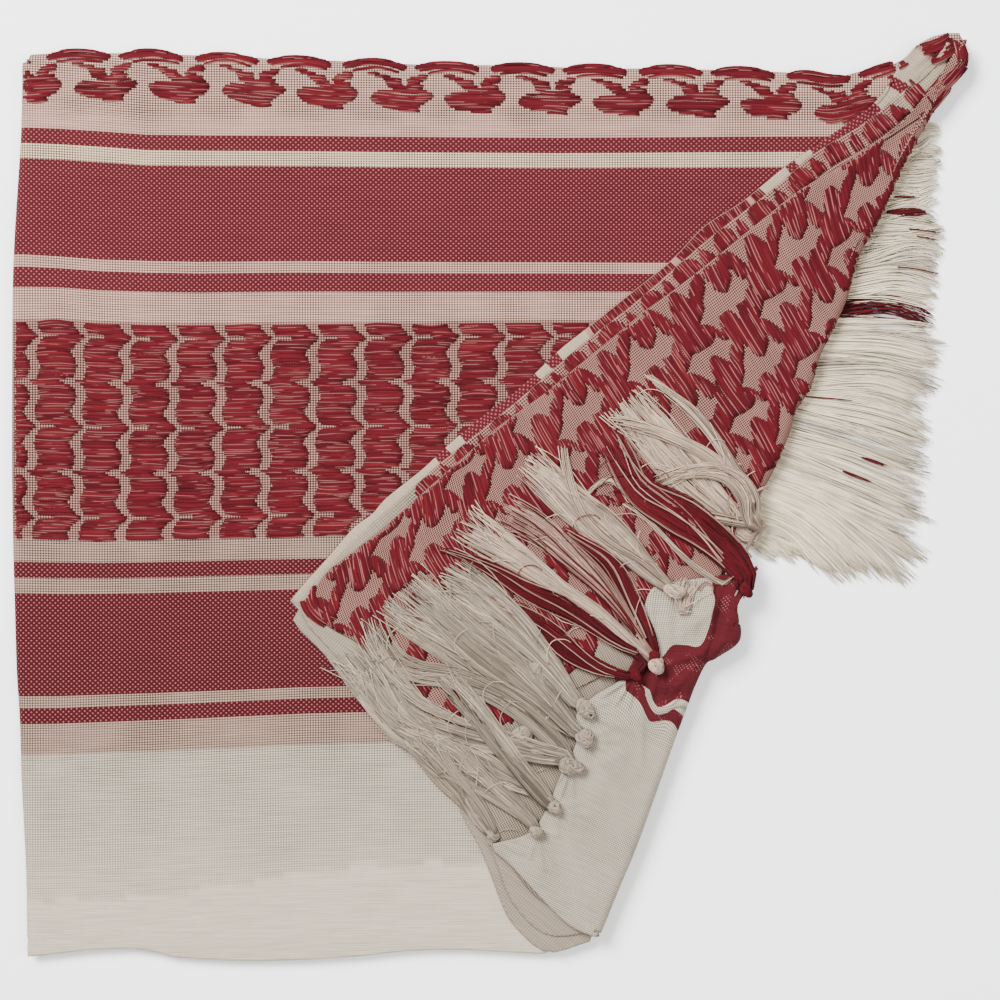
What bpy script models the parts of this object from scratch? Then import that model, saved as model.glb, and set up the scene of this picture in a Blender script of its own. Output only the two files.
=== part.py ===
"""Keffiyeh headscarf, folded in thirds and laid flat, with its right end turned back over the top.

The frame is in metres: +X to the right, +Y away, +Z up, and the origin under the middle of the
folded cloth, on the surface that it rests on. All the tables and sizes are in millimetres.
"""

import math

import bmesh
import bpy
from mathutils import Vector

MM = 0.001

# Driving sizes, in millimetres
WALL = 1.1
GAP = 0.35
STACK_HEIGHT = 4.2
STACK_LAYERS = 3
GROOVE = 0.8
SOFT_EDGE = 1.5
SOFT_ANGLE = 46.0
DRAPE_HEIGHT = 0.45
DRAPE_LENGTH = 150.0
DRAPE_WAVES = [(5.1, 2.0, 0.0), (-4.2, 3.3, 1.0), (0.0, 6.0, 0.5)]  # waves across x and y, and their start
LIP_CURL = 3.6
STRAND = 1.6
LOCK = 1.5
PACKING = 0.88
STRAND_POINTS = 4
LOCK_POINTS = 5
STRIP_PITCH = 12.0
FREE_END = 1.5
STRAND_TIP = 0.6
LOCK_TIP = 0.7
KNOT_TALL = 3.9
OVERHANG = 4.0
SAG_LENGTH = 14.0
STRIP_PARTING = 0.75

# Rows and columns of each grid, and steps of each curve
PANEL_GRID = (15, 15)
INNER_GRID = (16, 5)
FIELD_GRID = (16, 9)
END_GRID = (20, 8)
SOFT_STEPS = 2
TURN_STEPS = 4
CURVE_STEPS = 12
FRINGE_SAMPLES = 400
KNOT_SEGMENTS = 8
KNOT_RINGS = 6

# Inset of each layer from the outline, in millimetres
STACK_INSET_SIDES = 2.6
STACK_INSET_HEM = 0.6
STACK_INSET_FOLD = 7.4
STRIP_OUTER = 3.8
STRIP_INNER = 7.0
LAYER_INSET_FOLD = 2.6
COVERED_INSET = 4.4

# Height of each layer's top surface, worked out from the wall and the gap
STEP = WALL + GAP
PANEL_TOP = STACK_HEIGHT + STEP
BORDER_LAYER_TOP = PANEL_TOP + STEP
SECOND_LAYER_TOP = BORDER_LAYER_TOP + STEP
FIELD_TOP = SECOND_LAYER_TOP + STEP
END_TOP = FIELD_TOP + STEP
STRIP_BOTTOM = 0.35
STRIP_TOP = 3.4
FRINGE_LOW = STRIP_BOTTOM + STRAND / 2
FRINGE_HIGH = STRIP_TOP - STRAND / 2 + 0.1
TIER_RISE = 0.85 * LOCK
LIP_OVER_FRINGE = STRIP_TOP + 0.6
LIP_OVER_FLOOR = 0.8

# Outline of the folded cloth, one table a side, in order round it: x, y
LEFT_SIDE = [(-202, -202), (-204, -156), (-208, -50), (-210, 20), (-209, 106), (-206, 161), (-205, 194)]
TOP_SIDE = [(-205, 194), (-149, 196), (-83, 193), (-17, 191), (44, 189), (106, 188), (148, 184),
            (174, 188), (190, 199), (206, 204)]
FOLD_SIDE = [(206, 204), (210, 190), (197, 172), (180, 142), (171, 122), (161, 104), (150, 71), (141, 47),
             (132, 30), (117, -4), (110, -22), (101, -50), (93, -76), (82, -104), (66, -149), (49, -193)]
HEM_SIDE = [(49, -193), (31, -199), (-39, -200), (-97, -204), (-138, -202), (-158, -198), (-202, -202)]

# Outline of each layer of the turned-back end: from the tip down its left edge, and along its end
BORDER_LAYER_LEFT = [(198, 200), (184, 193), (169, 174), (141, 152), (94, 118), (30, 63), (-18, 22),
                     (-45, -1), (-70, -26), (-87, -46)]
BORDER_LAYER_END = [(-87, -46), (-80, -62), (-52, -96), (-25, -121), (-11, -142), (-3, -156), (6, -180),
                    (25, -199), (44, -195)]
SECOND_LAYER_LEFT = [(197, 194), (188, 182), (168, 165), (141, 150), (94, 113), (49, 74), (5, 37),
                     (-26, 11), (-57, -17), (-83, -49)]
SECOND_LAYER_END = [(-83, -49), (-73, -64), (-47, -92), (-23, -117), (-8, -139), (1, -156), (10, -178),
                    (25, -192), (44, -191)]
FIELD_LEFT = [(206, 203), (198, 187), (188, 170), (167, 154), (135, 133), (86, 95), (55, 70), (24, 44),
              (-9, 19), (-38, -7), (-73, -39), (-77, -45)]
FIELD_END = [(-77, -45), (-68, -58), (-54, -69), (-35, -90), (-17, -112), (-5, -134), (5, -154),
             (20, -175), (44, -188)]
END_KNOT_EDGE = [(115, -34), (86, -47), (84, -68), (66, -86), (48, -92), (47, -108), (36, -130),
                 (27, -149), (3, -154)]
END_HEM = [(3, -154), (11, -163), (25, -178), (36, -188), (48, -193)]
END_FOLD_SIDE = [(117, -31), (114, -39), (108, -48), (110, -59), (108, -65), (99, -71), (93, -76),
                 (82, -104), (66, -149), (57, -171), (48, -193)]
# Right side of the two lower layers, which the field layer turns down over
INNER_FOLD_SIDE = [(200, 188), (193, 174), (176, 144), (166, 123), (156, 105), (145, 72), (136, 48),
                   (126, 30), (109, -4), (101, -22), (93, -50), (86, -76), (76, -103), (60, -147)]

# Where the fold passes from the field to the end layer above it: y, and the length of the change
HANDOVER_Y = -8.0
HANDOVER_LENGTH = 10.0

# Raised folds in a layer: the two ends of the crest, its height and its half width
TIP_FOLDS = [
    {"start": (150, 138), "end": (206, 190), "height": 1.6, "spread": 3.6},
    {"start": (176, 143), "end": (209, 184), "height": 1.1, "spread": 3.2},
]
CRUMPLE_FOLDS = [
    {"start": (113, -36), "end": (96, -73), "height": 2.4, "spread": 3.0},
    {"start": (105, -42), "end": (84, -60), "height": 1.7, "spread": 2.8},
    {"start": (107, -62), "end": (84, -71), "height": 2.2, "spread": 2.6},
    {"start": (95, -80), "end": (68, -84), "height": 1.3, "spread": 2.8},
    {"start": (88, -92), "end": (50, -100), "height": 0.8, "spread": 4.5},
    {"start": (75, -122), "end": (42, -120), "height": 0.6, "spread": 5.0},
]

# Right-hand fringe: where a strand leaves its strip, the middle of its bend and its free end
FRINGE_STATIONS = [
    {"root": (189, 159), "bend": (194, 161), "tip": (199, 162)},
    {"root": (180, 142), "bend": (189, 144), "tip": (199, 146)},
    {"root": (174, 130), "bend": (186, 130), "tip": (196, 131)},
    {"root": (167, 113), "bend": (184, 113), "tip": (201, 110)},
    {"root": (159, 94), "bend": (181, 95), "tip": (200, 91)},
    {"root": (153, 81), "bend": (176, 81), "tip": (199, 75)},
    {"root": (147, 64), "bend": (174, 63), "tip": (201, 58)},
    {"root": (141, 49), "bend": (170, 48), "tip": (194, 41)},
    {"root": (137, 40), "bend": (166, 35), "tip": (198, 22)},
    {"root": (131, 28), "bend": (161, 19), "tip": (196, 7)},
    {"root": (127, 19), "bend": (156, 8), "tip": (195, -8)},
    {"root": (123, 10), "bend": (152, -3), "tip": (193, -26)},
    {"root": (120, 4), "bend": (146, -8), "tip": (183, -42)},
    {"root": (118, -1), "bend": (140, -12), "tip": (167, -36)},
    {"root": (115.5, -7), "bend": (133, -14), "tip": (155, -38)},
    {"root": (113, -13), "bend": (125, -18), "tip": (141, -26)},
    {"root": (110.5, -19), "bend": (117, -22), "tip": (125, -26)},
]
FRINGE_STRANDS = 84
FRINGE_GROUPS = [
    {"name": "fringe_upper", "first": 0, "last": 36, "colour": "white"},
    {"name": "fringe_red_band", "first": 37, "last": 39, "colour": "red"},
    {"name": "fringe_lower", "first": 40, "last": 83, "colour": "white"},
]

# Tassels tied along the turned-back end: the knot, its size, and one or more hanks of locks. A hank has
# its route from the knot outwards, its width at the knot, half way and at the tips, and its locks.
TASSELS = [
    {"name": "tassel_arched", "colour": "white", "knot": (112, -13), "across": 10.0, "hanks": [
        {"route": [(114, -10), (111, 7), (103, 18), (89, 25), (73, 31), (57, 41)],
         "widths": (4, 9, 15), "locks": 8},
        {"route": [(117, -9), (116, 8), (106, 22), (89, 38), (69, 50)],
         "widths": (2, 4, 4), "locks": 4},
        {"route": [(110.5, -10), (106, 2), (100, 9), (92, 12), (82, 11)],
         "widths": (3, 6, 6), "locks": 6},
        {"route": [(108, -13), (99, -7), (91, -1), (83, 3)],
         "widths": (3, 6, 6), "locks": 5}]},
    {"name": "tassel_red_broad", "colour": "red", "knot": (103, -28.5), "across": 6.0, "hanks": [
        {"route": [(93, -20), (79, -10), (64, 2), (50, 18)],
         "widths": (4, 14, 11), "locks": 12}]},
    {"name": "tassel_white_broad", "colour": "white", "knot": (80, -42), "across": 6.0, "hanks": [
        {"route": [(75, -36), (68, -28), (58, -21), (44, -14), (31, -3), (22, 10)],
         "widths": (4.5, 10, 16), "locks": 12}]},
    {"name": "tassel_pink", "colour": "white", "knot": (71.5, -68), "across": 5.0, "hanks": [
        {"route": [(67, -60), (59, -49), (48, -39), (33, -29), (8, -10)],
         "widths": (3.5, 10, 11), "locks": 10}]},
    {"name": "tassel_red_slim", "colour": "red", "knot": (79, -67), "across": 4.0, "hanks": [
        {"route": [(75.5, -60), (70, -52), (65, -43), (57, -34)],
         "widths": (1.6, 3, 3), "locks": 4}]},
    {"name": "tassel_white_long", "colour": "white", "knot": (71, -74.5), "across": 5.0, "hanks": [
        {"route": [(66, -68.5), (53, -57), (38, -47.5), (20, -41), (-2, -26), (-20, -15)],
         "widths": (3, 6, 14), "locks": 8}]},
    {"name": "tassel_red_pair", "colour": "red", "knot": (62, -80.5), "across": 5.0, "hanks": [
        {"route": [(53, -73.5), (40, -66), (27, -57), (11, -48), (-4, -39), (-18, -31)],
         "widths": (3, 8, 5), "locks": 8}]},
    {"name": "tassel_row_1", "colour": "white", "knot": (41.5, -92), "across": 6.0, "hanks": [
        {"route": [(32, -83), (20, -72), (7, -61.5), (-9, -52), (-28, -41)],
         "widths": (4, 11, 14), "locks": 10}]},
    {"name": "tassel_row_2", "colour": "white", "knot": (41.5, -105), "across": 6.0, "hanks": [
        {"route": [(31, -101), (16, -93), (-2, -81), (-22, -67), (-42, -50)],
         "widths": (4, 10, 14), "locks": 10}]},
    {"name": "tassel_row_3", "colour": "white", "knot": (35.5, -120), "across": 6.0, "hanks": [
        {"route": [(24, -113.5), (9, -105), (-9, -95), (-28, -83), (-51, -68)],
         "widths": (4, 9, 13), "locks": 10}]},
    {"name": "tassel_row_4", "colour": "white", "knot": (28.5, -135.5), "across": 6.0, "hanks": [
        {"route": [(20, -128), (7, -119.5), (-9, -110.5), (-28, -101.5), (-54, -88)],
         "widths": (4, 9, 12), "locks": 10}]},
    {"name": "tassel_row_5", "colour": "white", "knot": (20.5, -146), "across": 5.5, "hanks": [
        {"route": [(14, -140.5), (1, -133), (-13, -125), (-28, -117), (-44, -106.5)],
         "widths": (3.5, 7, 8), "locks": 8}]},
    {"name": "tassel_row_6", "colour": "white", "knot": (1.5, -148.5), "across": 4.5, "hanks": [
        {"route": [(-4, -143), (-11, -136.5), (-19, -130.5), (-27, -125)],
         "widths": (3, 5, 6), "locks": 6}]},
]

COLOURS = {"white": (0.52, 0.47, 0.42, 1.0), "red": (0.17, 0.012, 0.018, 1.0),
           "field": (0.34, 0.14, 0.13, 1.0), "stripe": (0.36, 0.20, 0.18, 1.0)}


def new_collection(name):
    """Add a collection to the scene."""
    collection = bpy.data.collections.new(name)
    bpy.context.scene.collection.children.link(collection)
    return collection


def cotton(name, colour):
    """Plain woven cotton: rough, with no metal in it."""
    material = bpy.data.materials.new(name)
    material.use_nodes = True
    shader = material.node_tree.nodes["Principled BSDF"]
    shader.inputs["Base Color"].default_value = COLOURS[colour]
    shader.inputs["Roughness"].default_value = 0.9
    shader.inputs["Metallic"].default_value = 0.0
    return material


def catmull(before, start, end, after, t):
    """Point at t between start and end on a Catmull-Rom curve."""
    return 0.5 * (2 * start + (end - before) * t
                  + (2 * before - 5 * start + 4 * end - after) * t * t
                  + (3 * start - before - 3 * end + after) * t ** 3)


def smooth_line(points, count):
    """Run a smooth curve through 2D or 3D points and return count points, evenly spaced along it."""
    knots = [Vector(p) for p in points]
    knots = [2 * knots[0] - knots[1]] + knots + [2 * knots[-1] - knots[-2]]
    fine = [catmull(*knots[i:i + 4], step / CURVE_STEPS)
            for i in range(len(knots) - 3) for step in range(CURVE_STEPS)]
    fine.append(knots[-2])
    lengths = [0.0]
    for a, b in zip(fine, fine[1:]):
        lengths.append(lengths[-1] + (b - a).length)
    line = []
    segment = 0
    for i in range(count):
        target = lengths[-1] * i / (count - 1)
        while segment < len(fine) - 2 and lengths[segment + 1] < target:
            segment += 1
        span = lengths[segment + 1] - lengths[segment]
        line.append(fine[segment].lerp(fine[segment + 1], (target - lengths[segment]) / span))
    return line


def left_normals(loop):
    """Unit normals to the left of travel round a closed 2D loop."""
    normals = []
    for i, _ in enumerate(loop):
        along = (loop[(i + 1) % len(loop)] - loop[i - 1]).normalized()
        normals.append(Vector((-along.y, along.x)))
    return normals


def inset_loop(loop, insets):
    """Move each point of a clockwise loop inwards by its own inset."""
    return [p - n * d for p, n, d in zip(loop, left_normals(loop), insets)]


def four_sides(left, top, right, bottom, rows, columns):
    """One clockwise loop of rows and columns of points: up the left, along the top, down and back."""
    return (smooth_line(left, rows + 1)[:-1] + smooth_line(top, columns + 1)[:-1]
            + smooth_line(right, rows + 1)[:-1] + smooth_line(bottom, columns + 1)[:-1])


def coons_grid(loop, rows, columns):
    """Fill a four-sided loop with a grid of points, which follows all four sides."""
    left = loop[0:rows + 1]
    top = loop[rows:rows + columns + 1]
    right = loop[rows + columns:2 * rows + columns + 1][::-1]
    bottom = (loop[2 * rows + columns:] + loop[:1])[::-1]
    grid = []
    for j in range(rows + 1):
        v = j / rows
        line = []
        for i in range(columns + 1):
            u = i / columns
            across = left[j].lerp(right[j], u)
            along = bottom[i].lerp(top[i], v)
            corners = bottom[0].lerp(bottom[-1], u).lerp(top[0].lerp(top[-1], u), v)
            line.append(across + along - corners)
        grid.append(line)
    return grid


def drape(point):
    """Slow unevenness that all the laid layers share, so that they never touch."""
    waves = [math.sin((a * point.x + b * point.y) / DRAPE_LENGTH + start) for a, b, start in DRAPE_WAVES]
    return DRAPE_HEIGHT * (0.5 + sum(waves) / (2 * len(waves)))


def distance_to_segment(point, start, end):
    """Shortest distance from a 2D point to the segment from start to end."""
    along = end - start
    t = max(0.0, min(1.0, (point - start).dot(along) / along.length_squared))
    return (point - start - along * t).length


def fold_height(point, folds):
    """Height that the raised folds add at a point."""
    total = 0.0
    for fold in folds:
        away = distance_to_segment(point, Vector(fold["start"]), Vector(fold["end"]))
        total += fold["height"] * math.exp(-(away / fold["spread"]) ** 2)
    return total


def blend_weights(count, first, last, fade):
    """1 between the indices first and last of a closed loop, fading to 0 over fade points outside."""
    weights = []
    for i in range(count):
        outside = min(abs(i - k) for k in (first, last, first - count, last - count,
                                           first + count, last + count))
        inside = first <= i <= last or first <= i + count <= last
        weights.append(1.0 if inside else max(0.0, 1.0 - outside / fade))
    return weights


def edge_profile(curl, drop, steps):
    """Out and down steps of a soft edge (curl 0) or a quarter turn with a skirt below it (curl 1)."""
    soft = []
    turned = []
    for step in range(1, steps + 1):
        slope = math.radians(SOFT_ANGLE * step / steps)
        turn = math.radians(90.0 * min(1.0, step / (steps - 1)))
        soft.append((SOFT_EDGE * math.sin(slope), SOFT_EDGE * (1 - math.cos(slope))))
        turned.append((LIP_CURL * math.sin(turn), drop if step == steps else LIP_CURL * (1 - math.cos(turn))))
    return [(s[0] * (1 - curl) + t[0] * curl, s[1] * (1 - curl) + t[1] * curl) for s, t in zip(soft, turned)]


def cloth_wall(name, loop, rows, columns, top, curls, foot, folds, material, collection):
    """A wall of cloth: a grid inside the loop, soft or turned edges round it, and Solidify below it."""
    steps = TURN_STEPS if max(curls) > 0 else SOFT_STEPS
    profiles = [edge_profile(curl, top - foot, steps) for curl in curls]
    inner = inset_loop(loop, [profile[-1][0] for profile in profiles])
    grid = coons_grid(inner, rows, columns)
    mesh = bmesh.new()

    def add_point(flat, down=0.0):
        """Place a point of the wall's top surface."""
        lift = drape(flat) + fold_height(flat, folds)
        return mesh.verts.new((flat.x * MM, flat.y * MM, (top - down + lift) * MM))

    points = [[add_point(flat) for flat in line] for line in grid]
    for j in range(rows):
        for i in range(columns):
            mesh.faces.new((points[j][i], points[j][i + 1], points[j + 1][i + 1], points[j + 1][i]))
    ring = ([points[j][0] for j in range(rows)] + [points[rows][i] for i in range(columns)]
            + [points[j][columns] for j in range(rows, 0, -1)]
            + [points[0][i] for i in range(columns, 0, -1)])
    outward = left_normals(inner)
    for step in range(steps):
        wider = []
        for flat, normal, profile in zip(inner, outward, profiles):
            out, down = profile[step]
            wider.append(add_point(flat + normal * out, down))
        for i, _ in enumerate(ring):
            k = (i + 1) % len(ring)
            mesh.faces.new((ring[i], ring[k], wider[k], wider[i]))
        ring = wider
    bmesh.ops.recalc_face_normals(mesh, faces=mesh.faces)
    if mesh.faces[0].normal.z < 0:
        bmesh.ops.reverse_faces(mesh, faces=mesh.faces)
    data = bpy.data.meshes.new(name)
    mesh.to_mesh(data)
    mesh.free()
    piece = bpy.data.objects.new(name, data)
    data.materials.append(material)
    data.shade_smooth()
    collection.objects.link(piece)
    wall = piece.modifiers.new("Wall", "SOLIDIFY")
    wall.thickness = WALL * MM
    wall.offset = -1.0
    return piece


def layered_stack(name, loop, material, collection):
    """The hidden layers as one solid: flat below, with a groove between the edges of its layers."""
    mesh = bmesh.new()
    layer = STACK_HEIGHT / STACK_LAYERS
    heights_and_insets = []
    for i in range(STACK_LAYERS):
        heights_and_insets.append((i * layer, GROOVE))
        heights_and_insets.append((i * layer + GROOVE / 2, 0.0))
        heights_and_insets.append(((i + 1) * layer - GROOVE / 2, 0.0))
    heights_and_insets.append((STACK_HEIGHT, GROOVE))
    rings = []
    for height, inset in heights_and_insets:
        flats = inset_loop(loop, [inset] * len(loop))
        rings.append([mesh.verts.new((flat.x * MM, flat.y * MM, height * MM)) for flat in flats])
    for lower, upper in zip(rings, rings[1:]):
        for i, _ in enumerate(lower):
            k = (i + 1) % len(lower)
            mesh.faces.new((lower[i], lower[k], upper[k], upper[i]))
    mesh.faces.new(rings[0])
    mesh.faces.new(rings[-1])
    bmesh.ops.recalc_face_normals(mesh, faces=mesh.faces)
    data = bpy.data.meshes.new(name)
    mesh.to_mesh(data)
    mesh.free()
    piece = bpy.data.objects.new(name, data)
    data.materials.append(material)
    collection.objects.link(piece)
    return piece


def triangle_profile(name, radius, collection):
    """Three-sided closed curve that strands take their section from."""
    curve = bpy.data.curves.new(name, "CURVE")
    curve.dimensions = "2D"
    spline = curve.splines.new("POLY")
    spline.points.add(2)
    for i, point in enumerate(spline.points):
        turn = math.radians(90 + 120 * i)
        point.co = (radius * MM * math.cos(turn), radius * MM * math.sin(turn), 0.0, 1.0)
    spline.use_cyclic_u = True
    profile = bpy.data.objects.new(name, curve)
    profile.hide_render = True
    profile.display_type = "WIRE"
    collection.objects.link(profile)
    return profile


def strand_mesh(name, routes, profile, collection):
    """Three-sided strands along routes of (x, y, z, taper), as one mesh with its caps welded."""
    curve = bpy.data.curves.new(name + "_route", "CURVE")
    curve.dimensions = "3D"
    curve.bevel_mode = "OBJECT"
    curve.bevel_object = profile
    curve.use_fill_caps = True
    for route in routes:
        spline = curve.splines.new("POLY")
        spline.points.add(len(route) - 1)
        for point, (x, y, z, taper) in zip(spline.points, route):
            point.co = (x * MM, y * MM, z * MM, 1.0)
            point.radius = taper
    tube = bpy.data.objects.new(name + "_route", curve)
    collection.objects.link(tube)
    evaluated = tube.evaluated_get(bpy.context.evaluated_depsgraph_get())
    data = bpy.data.meshes.new_from_object(evaluated)
    welded = bmesh.new()
    welded.from_mesh(data)
    bmesh.ops.remove_doubles(welded, verts=welded.verts, dist=0.000001)
    bmesh.ops.recalc_face_normals(welded, faces=welded.faces)
    welded.to_mesh(data)
    welded.free()
    strands = bpy.data.objects.new(name, data)
    strands.matrix_world = tube.matrix_world
    collection.objects.link(strands)
    bpy.data.objects.remove(tube)
    strands.hide_render = True
    strands.display_type = "WIRE"
    return strands


def fuse(backing, strands):
    """Join strands to the backing that holds their roots."""
    union = backing.modifiers.new("Roots", "BOOLEAN")
    union.operation = "UNION"
    union.object = strands
    union.use_self = True


def station_point(key, position):
    """Point of the fringe table at a fractional row, on a smooth curve through the rows."""
    rows = [Vector(row[key]) for row in FRINGE_STATIONS]
    index = min(int(position), len(rows) - 2)
    padded = [2 * rows[0] - rows[1]] + rows + [2 * rows[-1] - rows[-2]]
    return catmull(*padded[index:index + 4], position - index)


def fringe_positions():
    """Fractional table row of each strand, so that their roots are evenly spaced along the fold."""
    rows = len(FRINGE_STATIONS) - 1
    samples = [rows * i / FRINGE_SAMPLES for i in range(FRINGE_SAMPLES + 1)]
    lengths = [0.0]
    for a, b in zip(samples, samples[1:]):
        lengths.append(lengths[-1] + (station_point("root", b) - station_point("root", a)).length)
    positions = []
    index = 0
    for i in range(FRINGE_STRANDS):
        target = lengths[-1] * i / (FRINGE_STRANDS - 1)
        while index < FRINGE_SAMPLES - 1 and lengths[index + 1] < target:
            index += 1
        positions.append(samples[index])
    return positions


def fringe_strip(name, roots, material, collection):
    """The narrow strip that holds a run of strands, parted from the edge of the cloth under the fold."""
    mesh = bmesh.new()
    half = (STRIP_INNER - STRIP_OUTER) / 2
    rails = ([], [])
    for i, root in enumerate(roots):
        along = roots[min(i + 1, len(roots) - 1)] - roots[max(i - 1, 0)]
        across = Vector((-along.y, along.x)).normalized() * half
        for rail, side in zip(rails, (1, -1)):
            flat = root + across * side
            rail.append(mesh.verts.new((flat.x * MM, flat.y * MM, STRIP_TOP * MM)))
    for i in range(len(roots) - 1):
        mesh.faces.new((rails[0][i], rails[0][i + 1], rails[1][i + 1], rails[1][i]))
    bmesh.ops.recalc_face_normals(mesh, faces=mesh.faces)
    if mesh.faces[0].normal.z < 0:
        bmesh.ops.reverse_faces(mesh, faces=mesh.faces)
    data = bpy.data.meshes.new(name)
    mesh.to_mesh(data)
    mesh.free()
    strip = bpy.data.objects.new(name, data)
    data.materials.append(material)
    collection.objects.link(strip)
    wall = strip.modifiers.new("Wall", "SOLIDIFY")
    wall.thickness = (STRIP_TOP - STRIP_BOTTOM) * MM
    wall.offset = -1.0
    return strip


def make_fringe(collection, helpers):
    """Three strips under the fold, with their strands in two alternate heights."""
    positions = fringe_positions()
    profile = triangle_profile("strand_section", STRAND / 2, helpers)
    pitch = (station_point("root", positions[1]) - station_point("root", positions[0])).length
    for group in FRINGE_GROUPS:
        material = cotton("cotton_" + group["name"], group["colour"])
        routes = []
        for number in range(group["first"], group["last"] + 1):
            root, bend, tip = [station_point(key, positions[number]) for key in ("root", "bend", "tip")]
            height = FRINGE_LOW if number % 2 else FRINGE_HIGH
            tip = tip + (tip - bend).normalized() * (FREE_END * (math.sin(number * 2.4) - 1.0))
            line = smooth_line([root, bend, tip], STRAND_POINTS)
            routes.append([(p.x, p.y, height, STRAND_TIP if p is line[-1] else 1.0) for p in line])
        first, last = positions[group["first"]], positions[group["last"]]
        length = pitch * (group["last"] - group["first"])
        count = max(3, round(length / STRIP_PITCH))
        roots = [station_point("root", first + (last - first) * i / (count - 1)) for i in range(count)]
        beyond = pitch / 2 - STRIP_PARTING
        before = roots[0] - (roots[1] - roots[0]).normalized() * beyond
        after = roots[-1] + (roots[-1] - roots[-2]).normalized() * beyond
        strip = fringe_strip(group["name"], [before] + roots[1:-1] + [after], material, collection)
        fuse(strip, strand_mesh(group["name"] + "_strands", routes, profile, helpers))


def lie_height(flat, flap_outline):
    """Height of the surface below a tassel: the field, or past its edge the panel under it."""
    inside = False
    nearest = 1e9
    for i, a in enumerate(flap_outline):
        b = flap_outline[(i + 1) % len(flap_outline)]
        nearest = min(nearest, distance_to_segment(flat, a, b))
        if (a.y > flat.y) != (b.y > flat.y) and flat.x < (b.x - a.x) * (flat.y - a.y) / (b.y - a.y) + a.x:
            inside = not inside
    past = 0.0 if inside else max(0.0, nearest - OVERHANG)
    slope = min(1.0, past / SAG_LENGTH)
    drop = (FIELD_TOP - PANEL_TOP) * (3 * slope ** 2 - 2 * slope ** 3)
    return FIELD_TOP + drape(flat) - drop


def hank_routes(hank, knot, flap_outline):
    """Routes of a hank's locks, in two tiers, spread across its width."""
    centre = smooth_line([knot] + hank["route"], LOCK_POINTS)
    near, middle, far = hank["widths"]
    routes = []
    for lock in range(hank["locks"]):
        tier = lock % 2
        places = (hank["locks"] + 1 - tier) // 2
        place = (lock // 2 + 0.5) / places - 0.5
        route = []
        for i, flat in enumerate(centre):
            t = i / (LOCK_POINTS - 1)
            width = near + (middle - near) * min(1.0, 2 * t) + (far - middle) * max(0.0, 2 * t - 1)
            along = (centre[min(i + 1, LOCK_POINTS - 1)] - centre[max(i - 1, 0)]).normalized()
            across = Vector((-along.y, along.x))
            free = i == LOCK_POINTS - 1
            reach = FREE_END * (math.sin(lock * 2.1) - 1.0) if free else 0.0
            spot = flat + across * place * width + along * reach
            height = lie_height(spot, flap_outline) + GAP + LOCK / 2 + tier * TIER_RISE
            taper = min(LOCK_TIP if free else 1.0, PACKING * width / places / LOCK)
            route.append((spot.x, spot.y, height, taper))
        routes.append(route)
    return routes


def make_tassel(row, flap_outline, profile, collection, helpers):
    """A knot on the end of the cloth, with its locks fused into it."""
    material = cotton("cotton_" + row["name"], row["colour"])
    mesh = bmesh.new()
    bmesh.ops.create_uvsphere(mesh, u_segments=KNOT_SEGMENTS, v_segments=KNOT_RINGS, radius=0.5)
    for vert in mesh.verts:
        vert.co = Vector((vert.co.x * row["across"], vert.co.y * row["across"], vert.co.z * KNOT_TALL)) * MM
    data = bpy.data.meshes.new(row["name"])
    mesh.to_mesh(data)
    mesh.free()
    data.materials.append(material)
    data.shade_smooth()
    knot = bpy.data.objects.new(row["name"], data)
    flat = Vector(row["knot"])
    knot.location = Vector((flat.x, flat.y, lie_height(flat, flap_outline) + GAP + KNOT_TALL / 2)) * MM
    collection.objects.link(knot)
    routes = [route for hank in row["hanks"] for route in hank_routes(hank, row["knot"], flap_outline)]
    fuse(knot, strand_mesh(row["name"] + "_locks", routes, profile, helpers))
    return knot


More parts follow.
